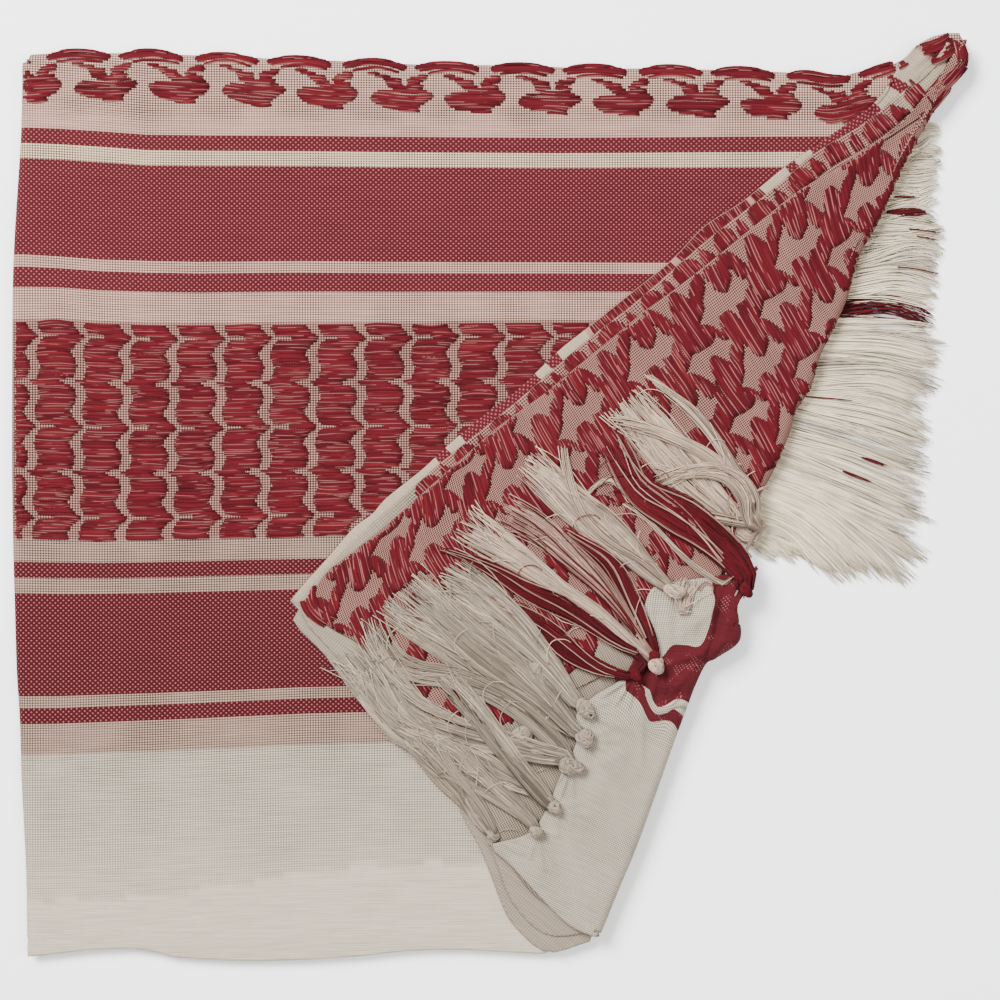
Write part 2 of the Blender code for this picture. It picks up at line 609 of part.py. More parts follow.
def make_layers(collection):
    """The stack of hidden layers, the border panel and the layers of the turned-back end."""
    rows, columns = PANEL_GRID
    outline = four_sides(LEFT_SIDE, TOP_SIDE, FOLD_SIDE, HEM_SIDE, rows, columns)
    count = len(outline)
    fold_first, fold_last = rows + columns + 2, 2 * rows + columns
    at_fold = blend_weights(count, fold_first, fold_last, 2)
    at_hem = blend_weights(count, 2 * rows + columns + 1, count - 1, 1)

    insets = [STACK_INSET_SIDES + (STACK_INSET_FOLD - STACK_INSET_SIDES) * f
              + (STACK_INSET_HEM - STACK_INSET_SIDES) * h * (1 - f) for f, h in zip(at_fold, at_hem)]
    layered_stack("hidden_layers", inset_loop(outline, insets), cotton("cotton_hidden", "white"), collection)

    edge = inset_loop(outline, [LAYER_INSET_FOLD * f for f in at_fold])
    curls = blend_weights(count, 1, rows + columns - 1, 1)
    cloth_wall("border_panel", edge, rows, columns, PANEL_TOP, curls, LIP_OVER_FLOOR, [],
               cotton("cotton_border_panel", "stripe"), collection)

    flap_rows, flap_columns = INNER_GRID
    for name, left, end, top in (
            ("flap_border_layer", BORDER_LAYER_LEFT, BORDER_LAYER_END, BORDER_LAYER_TOP),
            ("flap_second_layer", SECOND_LAYER_LEFT, SECOND_LAYER_END, SECOND_LAYER_TOP)):
        loop = flap_loop(left, end, INNER_FOLD_SIDE, flap_rows, flap_columns)
        cloth_wall(name, loop, flap_rows, flap_columns, top, [0.0] * len(loop), 0.0, [],
                   cotton("cotton_" + name, "stripe"), collection)

    field_rows, field_columns = FIELD_GRID
    loop = flap_loop(FIELD_LEFT, FIELD_END, FOLD_SIDE[1:-1], field_rows, field_columns)
    on_fold = blend_weights(len(loop), field_rows + 2, 2 * field_rows + field_columns, 2)
    open_fold = [max(0.0, min(1.0, 0.5 + (p.y - HANDOVER_Y) / HANDOVER_LENGTH)) for p in loop]
    curls = [f * o for f, o in zip(on_fold, open_fold)]
    loop = inset_loop(loop, [COVERED_INSET * f * (1.0 - o) for f, o in zip(on_fold, open_fold)])
    cloth_wall("flap_field_layer", loop, field_rows, field_columns, FIELD_TOP, curls, LIP_OVER_FRINGE,
               TIP_FOLDS, cotton("cotton_field", "field"), collection)

    end_rows, end_columns = END_GRID
    end_loop = four_sides(END_KNOT_EDGE[::-1], [END_KNOT_EDGE[0], END_FOLD_SIDE[0]], END_FOLD_SIDE,
                          END_HEM[::-1], end_rows, end_columns)
    curls = blend_weights(len(end_loop), end_rows + end_columns + 5, 2 * end_rows + end_columns - 1, 2)
    cloth_wall("flap_end_layer", end_loop, end_rows, end_columns, END_TOP, curls, LIP_OVER_FLOOR,
               CRUMPLE_FOLDS, cotton("cotton_end", "white"), collection)
    return flap_loop(BORDER_LAYER_LEFT, BORDER_LAYER_END, FOLD_SIDE[1:-1], flap_rows, flap_columns)


def flap_loop(left, end, right, rows, columns):
    """Clockwise outline of a layer of the turned-back end."""
    start = [left[0], ((left[0][0] + right[0][0]) / 2, (left[0][1] + right[0][1]) / 2), right[0]]
    return four_sides(left[::-1], start, right + [end[-1]], end[::-1], rows, columns)


def main():
    """Clear the scene and build every piece of the headscarf."""
    for old in list(bpy.data.objects):
        bpy.data.objects.remove(old)
    collection = new_collection("keffiyeh_headscarf")
    helpers = new_collection("strands_to_fuse")
    flap_outline = make_layers(collection)
    make_fringe(collection, helpers)
    profile = triangle_profile("lock_section", LOCK / 2, helpers)
    for row in TASSELS:
        make_tassel(row, flap_outline, profile, collection, helpers)


main()
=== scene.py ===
"""Folded keffiyeh headscarf: woven cotton cloth, its patterns of floats, its fringe and its knotted tassels.

Sizes in the tables are millimetres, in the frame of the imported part: +X right, +Y away, +Z up.
"""

import math
import random

import bpy
import numpy as np
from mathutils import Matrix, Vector
from mathutils.bvhtree import BVHTree


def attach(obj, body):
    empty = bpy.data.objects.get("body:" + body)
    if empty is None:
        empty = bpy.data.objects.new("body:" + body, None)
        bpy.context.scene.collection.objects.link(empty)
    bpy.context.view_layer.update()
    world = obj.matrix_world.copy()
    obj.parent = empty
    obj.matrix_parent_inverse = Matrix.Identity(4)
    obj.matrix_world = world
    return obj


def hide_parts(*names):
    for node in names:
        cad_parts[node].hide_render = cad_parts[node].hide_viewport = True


bl_info = {
    "name": "Folded keffiyeh headscarf",
    "version": (1, 0, 0),
    "blender": (4, 5, 0),
    "location": "View3D > Sidebar > Keffiyeh",
    "description": "Builds a folded keffiyeh headscarf with woven patterns, fringe and knotted tassels",
    "category": "Add Mesh",
}

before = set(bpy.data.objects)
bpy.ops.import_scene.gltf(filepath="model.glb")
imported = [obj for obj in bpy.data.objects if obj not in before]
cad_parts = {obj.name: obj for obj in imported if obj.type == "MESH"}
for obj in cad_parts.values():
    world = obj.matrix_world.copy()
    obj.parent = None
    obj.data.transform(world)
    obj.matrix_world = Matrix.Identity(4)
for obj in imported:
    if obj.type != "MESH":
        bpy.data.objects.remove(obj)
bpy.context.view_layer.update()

MM = 0.001


def table(columns, *rows):
    """Rows of a table as dicts, by the names of their columns."""
    return [dict(zip(columns.split(), row)) for row in rows]


def hanks(*rows):
    """Hanks of a tassel. The widths are those at the knot, half way and at the tips; up is off the cloth."""
    return table("route widths yarns up", *rows)


# Heights of the layers' top surfaces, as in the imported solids
PANEL_TOP = 5.65
BORDER_LAYER_TOP = 7.1
SECOND_LAYER_TOP = 8.55
FIELD_TOP = 10.0
END_TOP = 11.45
STACK_TOP = 4.2
FLOOR_GAP = 0.8

# Rows and columns of the cloths' grids
PANEL_SIZE = 132
STACK_SIZE = 60
LAYER_GRID = (110, 40)
FIELD_GRID = (130, 64)
END_GRID = (150, 70)

# Cloth edges: reach of a turned and of a soft one, and their steps
LIP = 3.6
SOFT_EDGE = 1.1
EDGE_STEPS = 7
# How far the panel and the field stay inside the diagonal fold
PANEL_INSET = 2.6
FIELD_INSET = 4.4

# The slow unevenness that all the laid layers share
DRAPE_HEIGHT = 0.45
DRAPE_LENGTH = 150.0
DRAPE_WAVES = [(5.1, 2.0, 0.0), (-4.2, 3.3, 1.0), (0.0, 6.0, 0.5)]

# Edges of the folded cloth, in order round it: x, y
LEFT_EDGE = [(-202.2, -202), (-203.1, -193.2), (-203.3, -173.4), (-203.9, -155.8), (-205.5, -125),
    (-206.3, -98.6), (-207.7, -76.6), (-208.6, -45.8), (-209.3, -19.4), (-209.7, 7), (-209.7, 42.2),
    (-209.5, 86.2), (-209, 106), (-207.9, 125.8), (-206.4, 147.8), (-205.7, 161), (-205.3, 178.6),
    (-205.3, 193.6)]
TOP_EDGE = [(-205.3, 193.6), (-193.4, 194.3), (-182.4, 194.9), (-165.7, 194.5), (-149.4, 194.7),
    (-131.8, 193.6), (-116.4, 193.8), (-100.1, 192.3), (-83.4, 192.1), (-65.8, 191), (-50.4, 190.7),
    (-34.1, 189.6), (-17.4, 189.4), (13.4, 189), (44.2, 187.9), (75, 187.7), (105.8, 187), (132.2, 185.9),
    (147.6, 183.5), (156.4, 184.8), (163, 186.6), (170.9, 187.9), (176.2, 189.2), (182.8, 192.7),
    (187.2, 197.6), (196, 202.4), (203, 203.6)]
FOLD_EDGE = [(206.1, 203.7), (209.7, 198.4), (209.7, 191.8), (208.3, 185.7), (203.1, 180), (197.3, 172.5),
    (189.4, 159.3), (180.2, 142.1), (171.4, 121.9), (161.3, 103.8), (157.3, 88.4), (149.8, 71.3),
    (144.5, 60.7), (140.6, 47.1), (134, 37), (132.2, 29.9), (125.6, 13.6), (116.8, -3.5), (110, -22),
    (101, -50), (93, -76), (82, -104), (66, -149), (47.3, -194.5)]
HEM_EDGE = [(47.3, -194.5), (42, -193.6), (31, -192.3), (25.3, -200.2), (13.4, -200.2), (4.6, -199.8),
    (-8.6, -199.1), (-21.8, -198.9), (-39.4, -199.8), (-52.6, -201.3), (-65.8, -202.4), (-81.2, -203.3),
    (-96.6, -203.7), (-109.8, -203.7), (-120.8, -203.3), (-138.4, -202), (-144.1, -200.4), (-149.4, -199.3),
    (-158.2, -198.4), (-167, -198.7), (-178, -199.3), (-189, -200.6), (-202.2, -202)]

# Edges of the layers of the turned-back end, from the tip down the left, and along the end
BORDER_LEFT = [(187.2, 197.6), (180.2, 189.6), (170.5, 174.2), (156.4, 162.8), (141, 152.2), (131.3, 145.6),
    (116.8, 133.8), (110.2, 128.5), (93.9, 117.9), (79.4, 103), (63.6, 90.2), (41.6, 72.6), (30.1, 63.4),
    (13.4, 47.5), (-3.3, 34.8), (-18.3, 22), (-29.7, 11.4), (-45.1, -0.9), (-51.3, -7.9), (-59.6, -14.1),
    (-70.2, -26.4), (-79, -36.1), (-87.3, -45.8)]
BORDER_END = [(-87.3, -45.8), (-83.4, -50.2), (-86, -55), (-78.5, -63.4), (-71.9, -70), (-61.4, -84.9),
    (-51.7, -96.4), (-41.6, -108.2), (-25.3, -118.8), (-16.9, -128.5), (-11.2, -141.7), (-3.3, -156.2),
    (5.9, -180), (11.2, -188.8), (25.3, -199.8), (44, -195)]
SECOND_LEFT = [(201, 198), (192.9, 186.9), (178, 174.5), (168.3, 166.3), (159.1, 160), (141.5, 149.4),
    (127.8, 137.3), (110.2, 123.6), (93.9, 110.9), (63.6, 84.5), (41.6, 67.3), (13.4, 42.7), (-3.3, 29),
    (-21.8, 14.1), (-39.4, -1.8), (-57, -17.6), (-72.4, -33.4), (-83.4, -47.2)]
SECOND_END = [(-83.4, -47.2), (-80, -56), (-73, -64), (-47, -92), (-23, -117), (-8, -139), (1, -156),
    (10, -178), (25, -192), (44, -191)]
FIELD_LEFT = [(207, 199.4), (200.4, 182.8), (186.8, 166), (167, 153.6), (154.2, 144.8), (134.9, 133.3),
    (121.7, 122.8), (86.5, 94.6), (67.5, 80.5), (54.8, 70), (35.9, 54.6), (23.5, 44.4), (3.3, 29.9),
    (-8.6, 19.4), (-26.2, 4), (-38.5, -7), (-57, -22.4), (-69.3, -31.7), (-74.6, -38.3), (-77.2, -44.4)]
FIELD_END = [(-77.2, -44.4), (-74.6, -51), (-70.2, -57.2), (-59.2, -63.4), (-51.7, -70), (-35, -90),
    (-17, -112), (-5, -134), (5, -154), (20, -175), (44, -188)]
INNER_FOLD_EDGE = [(200, 188), (193, 174), (176, 144), (166, 123), (156, 105), (145, 72), (136, 48),
    (126, 30), (109, -4), (101, -22), (93, -50), (86, -76), (76, -103), (60, -147)]
END_KNOT_EDGE = [(110, -33), (98, -35), (84, -37), (72, -39.5), (67.5, -48), (66, -60), (63, -71), (57, -80),
    (46, -87), (38, -95), (38, -107), (32, -119), (25, -136), (17, -147), (-1, -152)]
END_HEM = [(-1, -152), (11, -163), (25, -178), (36, -188), (48, -193)]
END_FOLD_EDGE = [(117, -31), (114, -39), (108, -48), (110, -59), (108, -65), (99, -71), (93, -76), (82, -104),
    (66, -149), (57, -171), (48, -193)]
# Dyed parts of the knotted end: the wide red and, below a white line, the narrow stripe
END_RED = [(69.7, -84.5), (71.5, -89.8), (73.7, -92), (76.8, -91.1), (80.3, -88.9), (83.8, -88.4), (90, -91),
    (104, -88), (125, -70), (128, -30), (112, -26), (98.6, -31.7), (97, -39.2), (97.9, -46.6), (92.6, -64.2),
    (85, -64.8), (79.4, -65.1), (73.3, -71.3), (60, -70.5), (58, -76)]
END_STRIPE = [(59.2, -84.5), (65.3, -89.8), (68, -95), (69.7, -98.1), (73.3, -98.1), (76.8, -97.7),
    (80.3, -99.4), (85.5, -106.5), (92, -100), (86, -97.7), (83.8, -95.5), (80.3, -92.8), (76.8, -94.6),
    (72.8, -95), (70.2, -92.4), (68, -87.1), (67.1, -83.6), (60, -78)]

# Raised and sunk folds: start, end, height and half width
PANEL_FOLDS = [((-150, -194), (10, -192), 0.5, 4), ((-60, -150), (0, -190), 0.3, 7),
    ((-190, 60), (-60, 74), 0.25, 9), ((-170, -60), (-40, -40), -0.2, 10)]
TIP_FOLDS = [((150, 138), (196, 181), 1.2, 3.6), ((176, 143), (203, 176), 0.9, 3.2),
    ((182, 191), (196, 198), -0.5, 1.2), ((187, 186.6), (198.5, 195.4), -0.5, 1.2),
    ((191.6, 185), (205.7, 194), -0.5, 1.2), ((186, 188.5), (194.7, 196.2), 0.8, 1.5),
    ((193.8, 190), (204.4, 195.4), 0.8, 1.4), ((192, 181), (206, 190), 0.9, 1.8)]
LOWER_FOLDS = [((-14, -120), (-3, -143), 0.9, 3), ((-3, -143), (5, -163), 0.9, 3),
    ((5, -163), (16, -181), 0.9, 3), ((16, -181), (33, -193), 0.8, 3), ((-50, -92), (-24, -116), 0.7, 3),
    ((-75, -62), (-50, -92), 0.6, 3)]
SECOND_FOLDS = [((0, -150), (13, -178), 1, 3), ((13, -178), (30, -190), 0.9, 3),
    ((10, -150), (24, -176), -0.5, 3)]
END_CRUMPLES = [((78, -49), (79, -66), 1.3, 2.6), ((106, -42), (84, -84), 1.5, 12),
    ((113, -36), (96, -73), 1.6, 3), ((105, -42), (84, -60), 1.4, 2.8), ((107, -62), (84, -71), 1.8, 2.6),
    ((95, -80), (68, -84), 1.3, 2.8), ((88, -92), (50, -100), 0.8, 4.5), ((75, -122), (42, -120), 0.6, 5),
    ((102, -42), (99, -59), -1.8, 1.3), ((99, -59), (94, -72), -1.8, 1.3), ((107, -46), (108, -61), 1.5, 2),
    ((96, -41), (96, -64), 1.5, 1.7), ((92, -69), (74, -73), 1.6, 1.8), ((69, -84), (72, -92), 1.3, 1.2),
    ((72, -93), (76, -93), 1.3, 1.2), ((76, -93), (83, -89), 1.3, 1.2), ((83, -89), (89, -90), 1.2, 1.2),
    ((88, -75), (79, -86), 1.1, 1.5), ((84, -42), (84, -66), 0.8, 1.5), ((90, -40), (89, -62), 0.6, 1.5),
    ((76, -44), (77, -68), 0.9, 1.8), ((70, -47), (71, -64), 1, 2.2), ((97, -76), (87, -86), -0.9, 1.5),
    ((66, -104), (40, -134), 0.5, 5), ((80, -110), (56, -158), 0.4, 4), ((60, -98), (64, -128), -0.4, 4),
    ((66, -88), (66, -118), 1.1, 1.8), ((50, -96), (64, -104), 0.9, 2), ((28, -152), (46, -178), 0.7, 3),
    ((44, -118), (60, -112), 0.7, 2.2)]
# Creases that fan out from a knot: turn, length and height. These knots lie on folds of their own.
KNOT_CREASES = [(-0.8, 12, 1.3), (-0.4, 18, 1.5), (0, 16, 1.4), (0.4, 15, 1.3), (0.8, 11, 1.1)]
CREASELESS = ("tassel_arched", "tassel_red_broad", "tassel_pink")

# How the stripes of the panel bow: x, and how far they lie above their place at each of the heights below
BOW_HEIGHTS = (154.0, 101.6, 73.0, -18.5, -63.0, -95.5)
STRIPE_BOW = table("x up", (-204, (3.5, 3.3, 1.5, 0, -1.3, -2.6)), (-189, (2.9, 2.4, 2.1, -0.3, -1.5, -2.4)),
    (-171, (1.8, 1, 0.9, -0.7, -1.1, -1.7)), (-149, (0.2, 0.4, 0.1, -0.4, -0.7, -0.9)),
    (-127, (0, 0, 0, 0, 0, 0)), (-83, (-0.2, 0.4, 0.5, 1, 1.2, 2)), (-39, (-0.7, 0, 0.7, 1.5, 2.2, 3.1)),
    (31, (-1.1, -0.2, 1.3, 2, 3, 4)), (128, (-0.5, -0.7, 1.3, 2, 3, 4)))

# Stripes of the panel, from the top down: where each starts, and its weft yarn. The lower bands' wefts are
# darker copies: painted shade.
PANEL_STRIPES = table("from weft", (204, "rosy"), (156.4, "red"), (150.3, "bright"), (143.9, "red"),
    (101.6, "rosy"), (96, "red"), (89, "rosy"), (74.4, "blush"), (-18.5, "dusky"), (-29.7, "deep"),
    (-36.4, "dusky"), (-42.9, "deep"), (-86.7, "dusky"), (-91.8, "deep"), (-99, "dusky"), (-104, "dusky"),
    (-112, "white"))
PANEL_END = 215.0

# How dark the painted shade in the panel's holes is, in its bands: top, bottom and shade
PANEL_SHADES = [(74.4, -18.5, 1.25), (89.0, 74.4, 0.95), (-99.0, -112.0, 0.95)]

# Chain band: height of its first and last weft, and the white line's sides at parts of a half period
CHAIN_TOP = 74.4
CHAIN_BOTTOM = -18.5
CHAIN_PERIOD = 38.9
CHAIN_SPIKE = 68.4
CHAIN_PITCH = 20.5
CHAIN_FIRST = -200.9
CHAIN_SLANT = 0.0225
CHAIN_LINE = table("part left right", (0, 3.1, 12), (0.025, 2.6, 11), (0.03, 1.9, 5.2), (0.06, 0.4, 4.2),
    (0.11, -1.3, 3.1), (0.175, -3, 2.6), (0.22, -1.8, 2.7), (0.28, -0.4, 3.6), (0.33, 0, 4.8),
    (0.39, -0.5, 4), (0.45, -1.4, 3.5), (0.465, -4.5, 3.3), (0.5, -7.5, -0.8))

# Floats bunch together, so they lie closer than the wefts of the weave
FLOAT_PACKING = 0.88

# Houndstooth: the two white figures, which columns have in turn: how far down, and the sides
FIGURE_HEIGHT = 27.0
FIGURE_ODD = [(0, -2.2, 2.2), (1.8, -2.4, 2.6), (3.1, -8, 4), (4, -9.5, 5), (5.3, -5.5, 6), (7, -4.5, 5.5),
    (8.8, -3.2, 5), (9.7, -2.6, 7.5), (10.6, -3, 11.5), (11.4, -3.2, 8), (13.2, -5, 4.6), (14.1, -7, 4.4),
    (14.8, -11.5, 4.4), (15.8, -12.4, 4.4), (16.9, -9.5, 4.6), (18.5, -8, 5.2), (20, -6.5, 8.5),
    (21, -5, 11.5), (22, -2.7, 9), (23.5, -1.5, 6), (25, 0, 4.5), (27, 1.2, 3.4)]
FIGURE_EVEN = [(0, -2, 2), (1.8, -2.4, 2.6), (3, -4.5, 4), (4, -6.8, 5.5), (5.3, -5.6, 7.8), (6.6, -4.6, 5.5),
    (8.5, -4, 2.5), (10, -4.2, 1.2), (13, -4.4, 1.6), (14.4, -4.8, 5.5), (15.6, -5, 10), (16.4, -5.2, 12.2),
    (17.6, -5.6, 9), (19, -4.4, 6), (20.6, -3, 3), (22.6, -1.6, 0.8), (24, -1, 0.2), (27, -0.6, -0.6)]
COLUMN_PITCH = 15.5
REPEAT = 40.0

# Where points of the turned-back field lie: across the floats, along the warp, x, y
FIELD_POINTS = [(0, -60, 178.7, 156.5), (0, -20, 145.6, 134), (0, 20, 110.2, 113), (0, 60, 76.7, 87.3),
    (0, 100, 45.7, 61.8), (0, 140, 17.2, 33.8), (0, 180, -11.6, 9), (0, 222, -45, -21),
    (15.5, -40, 163.5, 131.5), (15.5, 0, 133.8, 108.2), (15.5, 40, 101.8, 84.7), (15.5, 80, 69.3, 60.4),
    (15.5, 120, 39.4, 35.9), (15.5, 160, 7.7, 8.1), (15.5, 200, -26.2, -17.2), (15.5, 240, -58, -45),
    (31, -20, 153.9, 106.1), (31, 20, 125.4, 83.2), (31, 60, 94.6, 59.8), (46.5, 0, 147.8, 80.8),
    (46.5, 40, 118.4, 57.3), (46.5, 80, 87.3, 32.9), (62, 20, 139.8, 57.3), (62, 60, 112.6, 32.9),
    (77.5, 40, 132.7, 32), (62, 180, 18, -42), (93, 120, 78, -22)]
# The field's last figures, past which its yarns are undyed and take the shaded colour, painted shade under
# the tassels: across and along
FIELD_LIMIT = (105, 150)
# The same for the knotted end: x, y, across, along
END_POINTS = [(58.3, -84.5, 20, 0), (64.5, -88.4, 26, 0), (68, -95, 32, 0), (71.5, -98.6, 37, 0),
    (76.8, -97.7, 42, 0), (83.8, -103.8, 51, 0), (60, -81, 20, 3.6), (66.2, -83.6, 25, 3.6),
    (69.7, -88.9, 31, 3.6), (72.4, -93.3, 36, 3.6), (79, -94.6, 43, 3.6), (85.1, -98.6, 50, 3.6),
    (69.7, -85.4, 28, 6.2), (75, -91.5, 37, 6.2), (82, -87.6, 45, 6.2), (88.2, -88.4, 51, 6.2),
    (95, -60, 48, 32), (108, -45, 56, 48), (80, -62, 34, 30), (86, -50, 36, 42), (70, -42, 22, 50),
    (68, -60, 22, 32), (48.6, -193.2, 50, -98), (20, -170, 5, -90), (60, -140, 42, -46), (42, -118, 12, -34)]
# How much closer the yarns lie where the field is drawn in and where the knots draw the end together
FIELD_DRAWN_IN = 1.2
END_DRAWN_IN = 1.3

# Pattern woven at the top edge, as it lies past the fold: how far down, and the floats of one repeat
TOP_REPEAT = 32.4
TOP_START = -194.4
TOP_ROWS = table("down bow floats", (0.6, 1.4, [(2.2, 25.6)]), (1.3, 1.5, [(0.6, 27.4)]),
    (2, 1.5, [(0, 28.2)]), (2.7, 1.5, [(0.3, 28)]), (3.4, 1.4, [(1.6, 27.6)]), (4.6, 1.2, [(5.2, 25.6)]),
    (5.6, 0, [(11.8, 17), (0.8, 5)]), (6.7, 0, [(14.6, 21.2), (-2.2, 5)]),
    (7.8, 0, [(17.8, 25.8), (-3.4, 4)]), (8.9, 0, [(18.8, 26), (28.6, 34)]),
    (10, 0, [(19.8, 27), (28.8, 36.2)]), (11.1, 0, [(20.6, 36)]), (12.2, 0, [(22.6, 37.6)]),
    (13.3, 0, [(15.6, 39.4)]), (14.4, 0, [(13.4, 40)]), (15.5, 0, [(12.8, 39.4)]), (16.6, 0, [(12.8, 38)]),
    (17.7, 0, [(13.6, 36.8)]), (18.8, 0, [(15, 34.6)]), (19.9, 0, [(17.6, 33.4)]), (21, 0, [(24.6, 33.8)]))

# Floats beside the field: first and last row, direction in degrees, lengths and bow
CLUMP_PITCH = 0.85
CLUMPS = table("rows turn length bow",
    (((194.7, 199.8), (196.9, 195.8)), 22, (13, 15), 0.6),  # top of the tip
    (((198.2, 194.9), (199.5, 192.7)), 33, (13, 15), 0.5),  # between the white folds
    (((203.9, 194), (207.5, 193.2)), -80, (9, 12), 0.4),  # end of the tip
    (((199.2, 184.4), (202.9, 180.3)), 47, (17, 17), 0.5),  # under the tip
    (((185.5, 179.5), (191.6, 172.9)), -50, (7, 7.5), 0),  # beside the tip
    (((192.8, 178.4), (198.4, 174.4)), 50, (13, 10), 0.3),  # beside the white folds
    (((193.8, 174.7), (197.8, 172.9)), 50, (9, 13), 0),  # below the tip
    (((179.3, 189.2), (180.2, 187.4)), 24, (5, 7), 0),  # top edge before the tip
    (((-77, -47.5), (-70.5, -44.5)), -63, (24, 19), -4.5))  # rolled corner

# Red threads in the right-hand fringe: row of the stations, parts of the length, yarns and spread
FRINGE_FLECKS = table("at parts yarns spread", (2.32, (0.12, 0.8), 34, 3.6), (1.9, (0.15, 0.62), 5, 0.9),
    (2.75, (0.5, 0.97), 4, 0.8), (2.92, (0.6, 0.95), 3, 0.5), (3.7, (0.45, 0.95), 3, 0.6),
    (7.6, (0, 0.35), 3, 0.6), (9.1, (0.5, 0.68), 5, 1.6), (9.8, (0.42, 0.6), 4, 1.4))

# Stripes along the border layer, from the tip down: a place on its edge, and the weft from there on
BORDER_STRIPES = table("at weft", ((192.9, 192.3), "cream"), ((180.6, 183), "red"), ((176.2, 179.5), "cream"),
    ((169.6, 173.4), "red"), ((141.9, 151.4), "cream"), ((134.6, 147.4), "red"), ((130.5, 143), "cream"),
    ((118.1, 132.9), "blush"), ((42.9, 73), "cream"), ((31.9, 61.2), "red"), ((27.3, 56.8), "cream"),
    ((22.2, 52.4), "red"), ((-10.3, 23.5), "cream"), ((-16.5, 18.9), "red"), ((-20.9, 15.4), "cream"))
# The border layer's band of floats lies between these two of them, with two gaps
FLOAT_STRIPES = (7, 8)
FLOAT_GAP = (81.4, 102.8)

# Right-hand fringe: where a yarn leaves the fold, the middle of its bend and its free end
FRINGE_STATIONS = table("root bend tip", ((189, 159), (194, 161), (199, 162)),
    ((180, 142), (189, 144), (199, 146)), ((174, 130), (186, 130), (196, 131)),
    ((167, 113), (184, 113), (201, 110)), ((159, 94), (181, 95), (200, 91)),
    ((153, 81), (176, 81), (199, 75)), ((147, 64), (174, 63), (201, 58)), ((141, 49), (170, 48), (194, 41)),
    ((137, 40), (166, 35), (198, 22)), ((131, 28), (161, 19), (196, 7)), ((127, 19), (156, 8), (195, -8)),
    ((123, 10), (152, -3), (193, -26)), ((120, 4), (146, -8), (183, -42)),
    ((118, -1), (140, -12), (167, -36)), ((115.5, -7), (133, -14), (155, -38)),
    ((113, -13), (125, -18), (141, -26)), ((110.5, -19), (117, -22), (125, -26)))
FRINGE_GROUPS = table("node from to yarn", ("fringe_upper", 0, 4.7, "white"),
    ("fringe_red_band", 4.7, 5.15, "red"), ("fringe_lower", 5.15, 16, "white"))

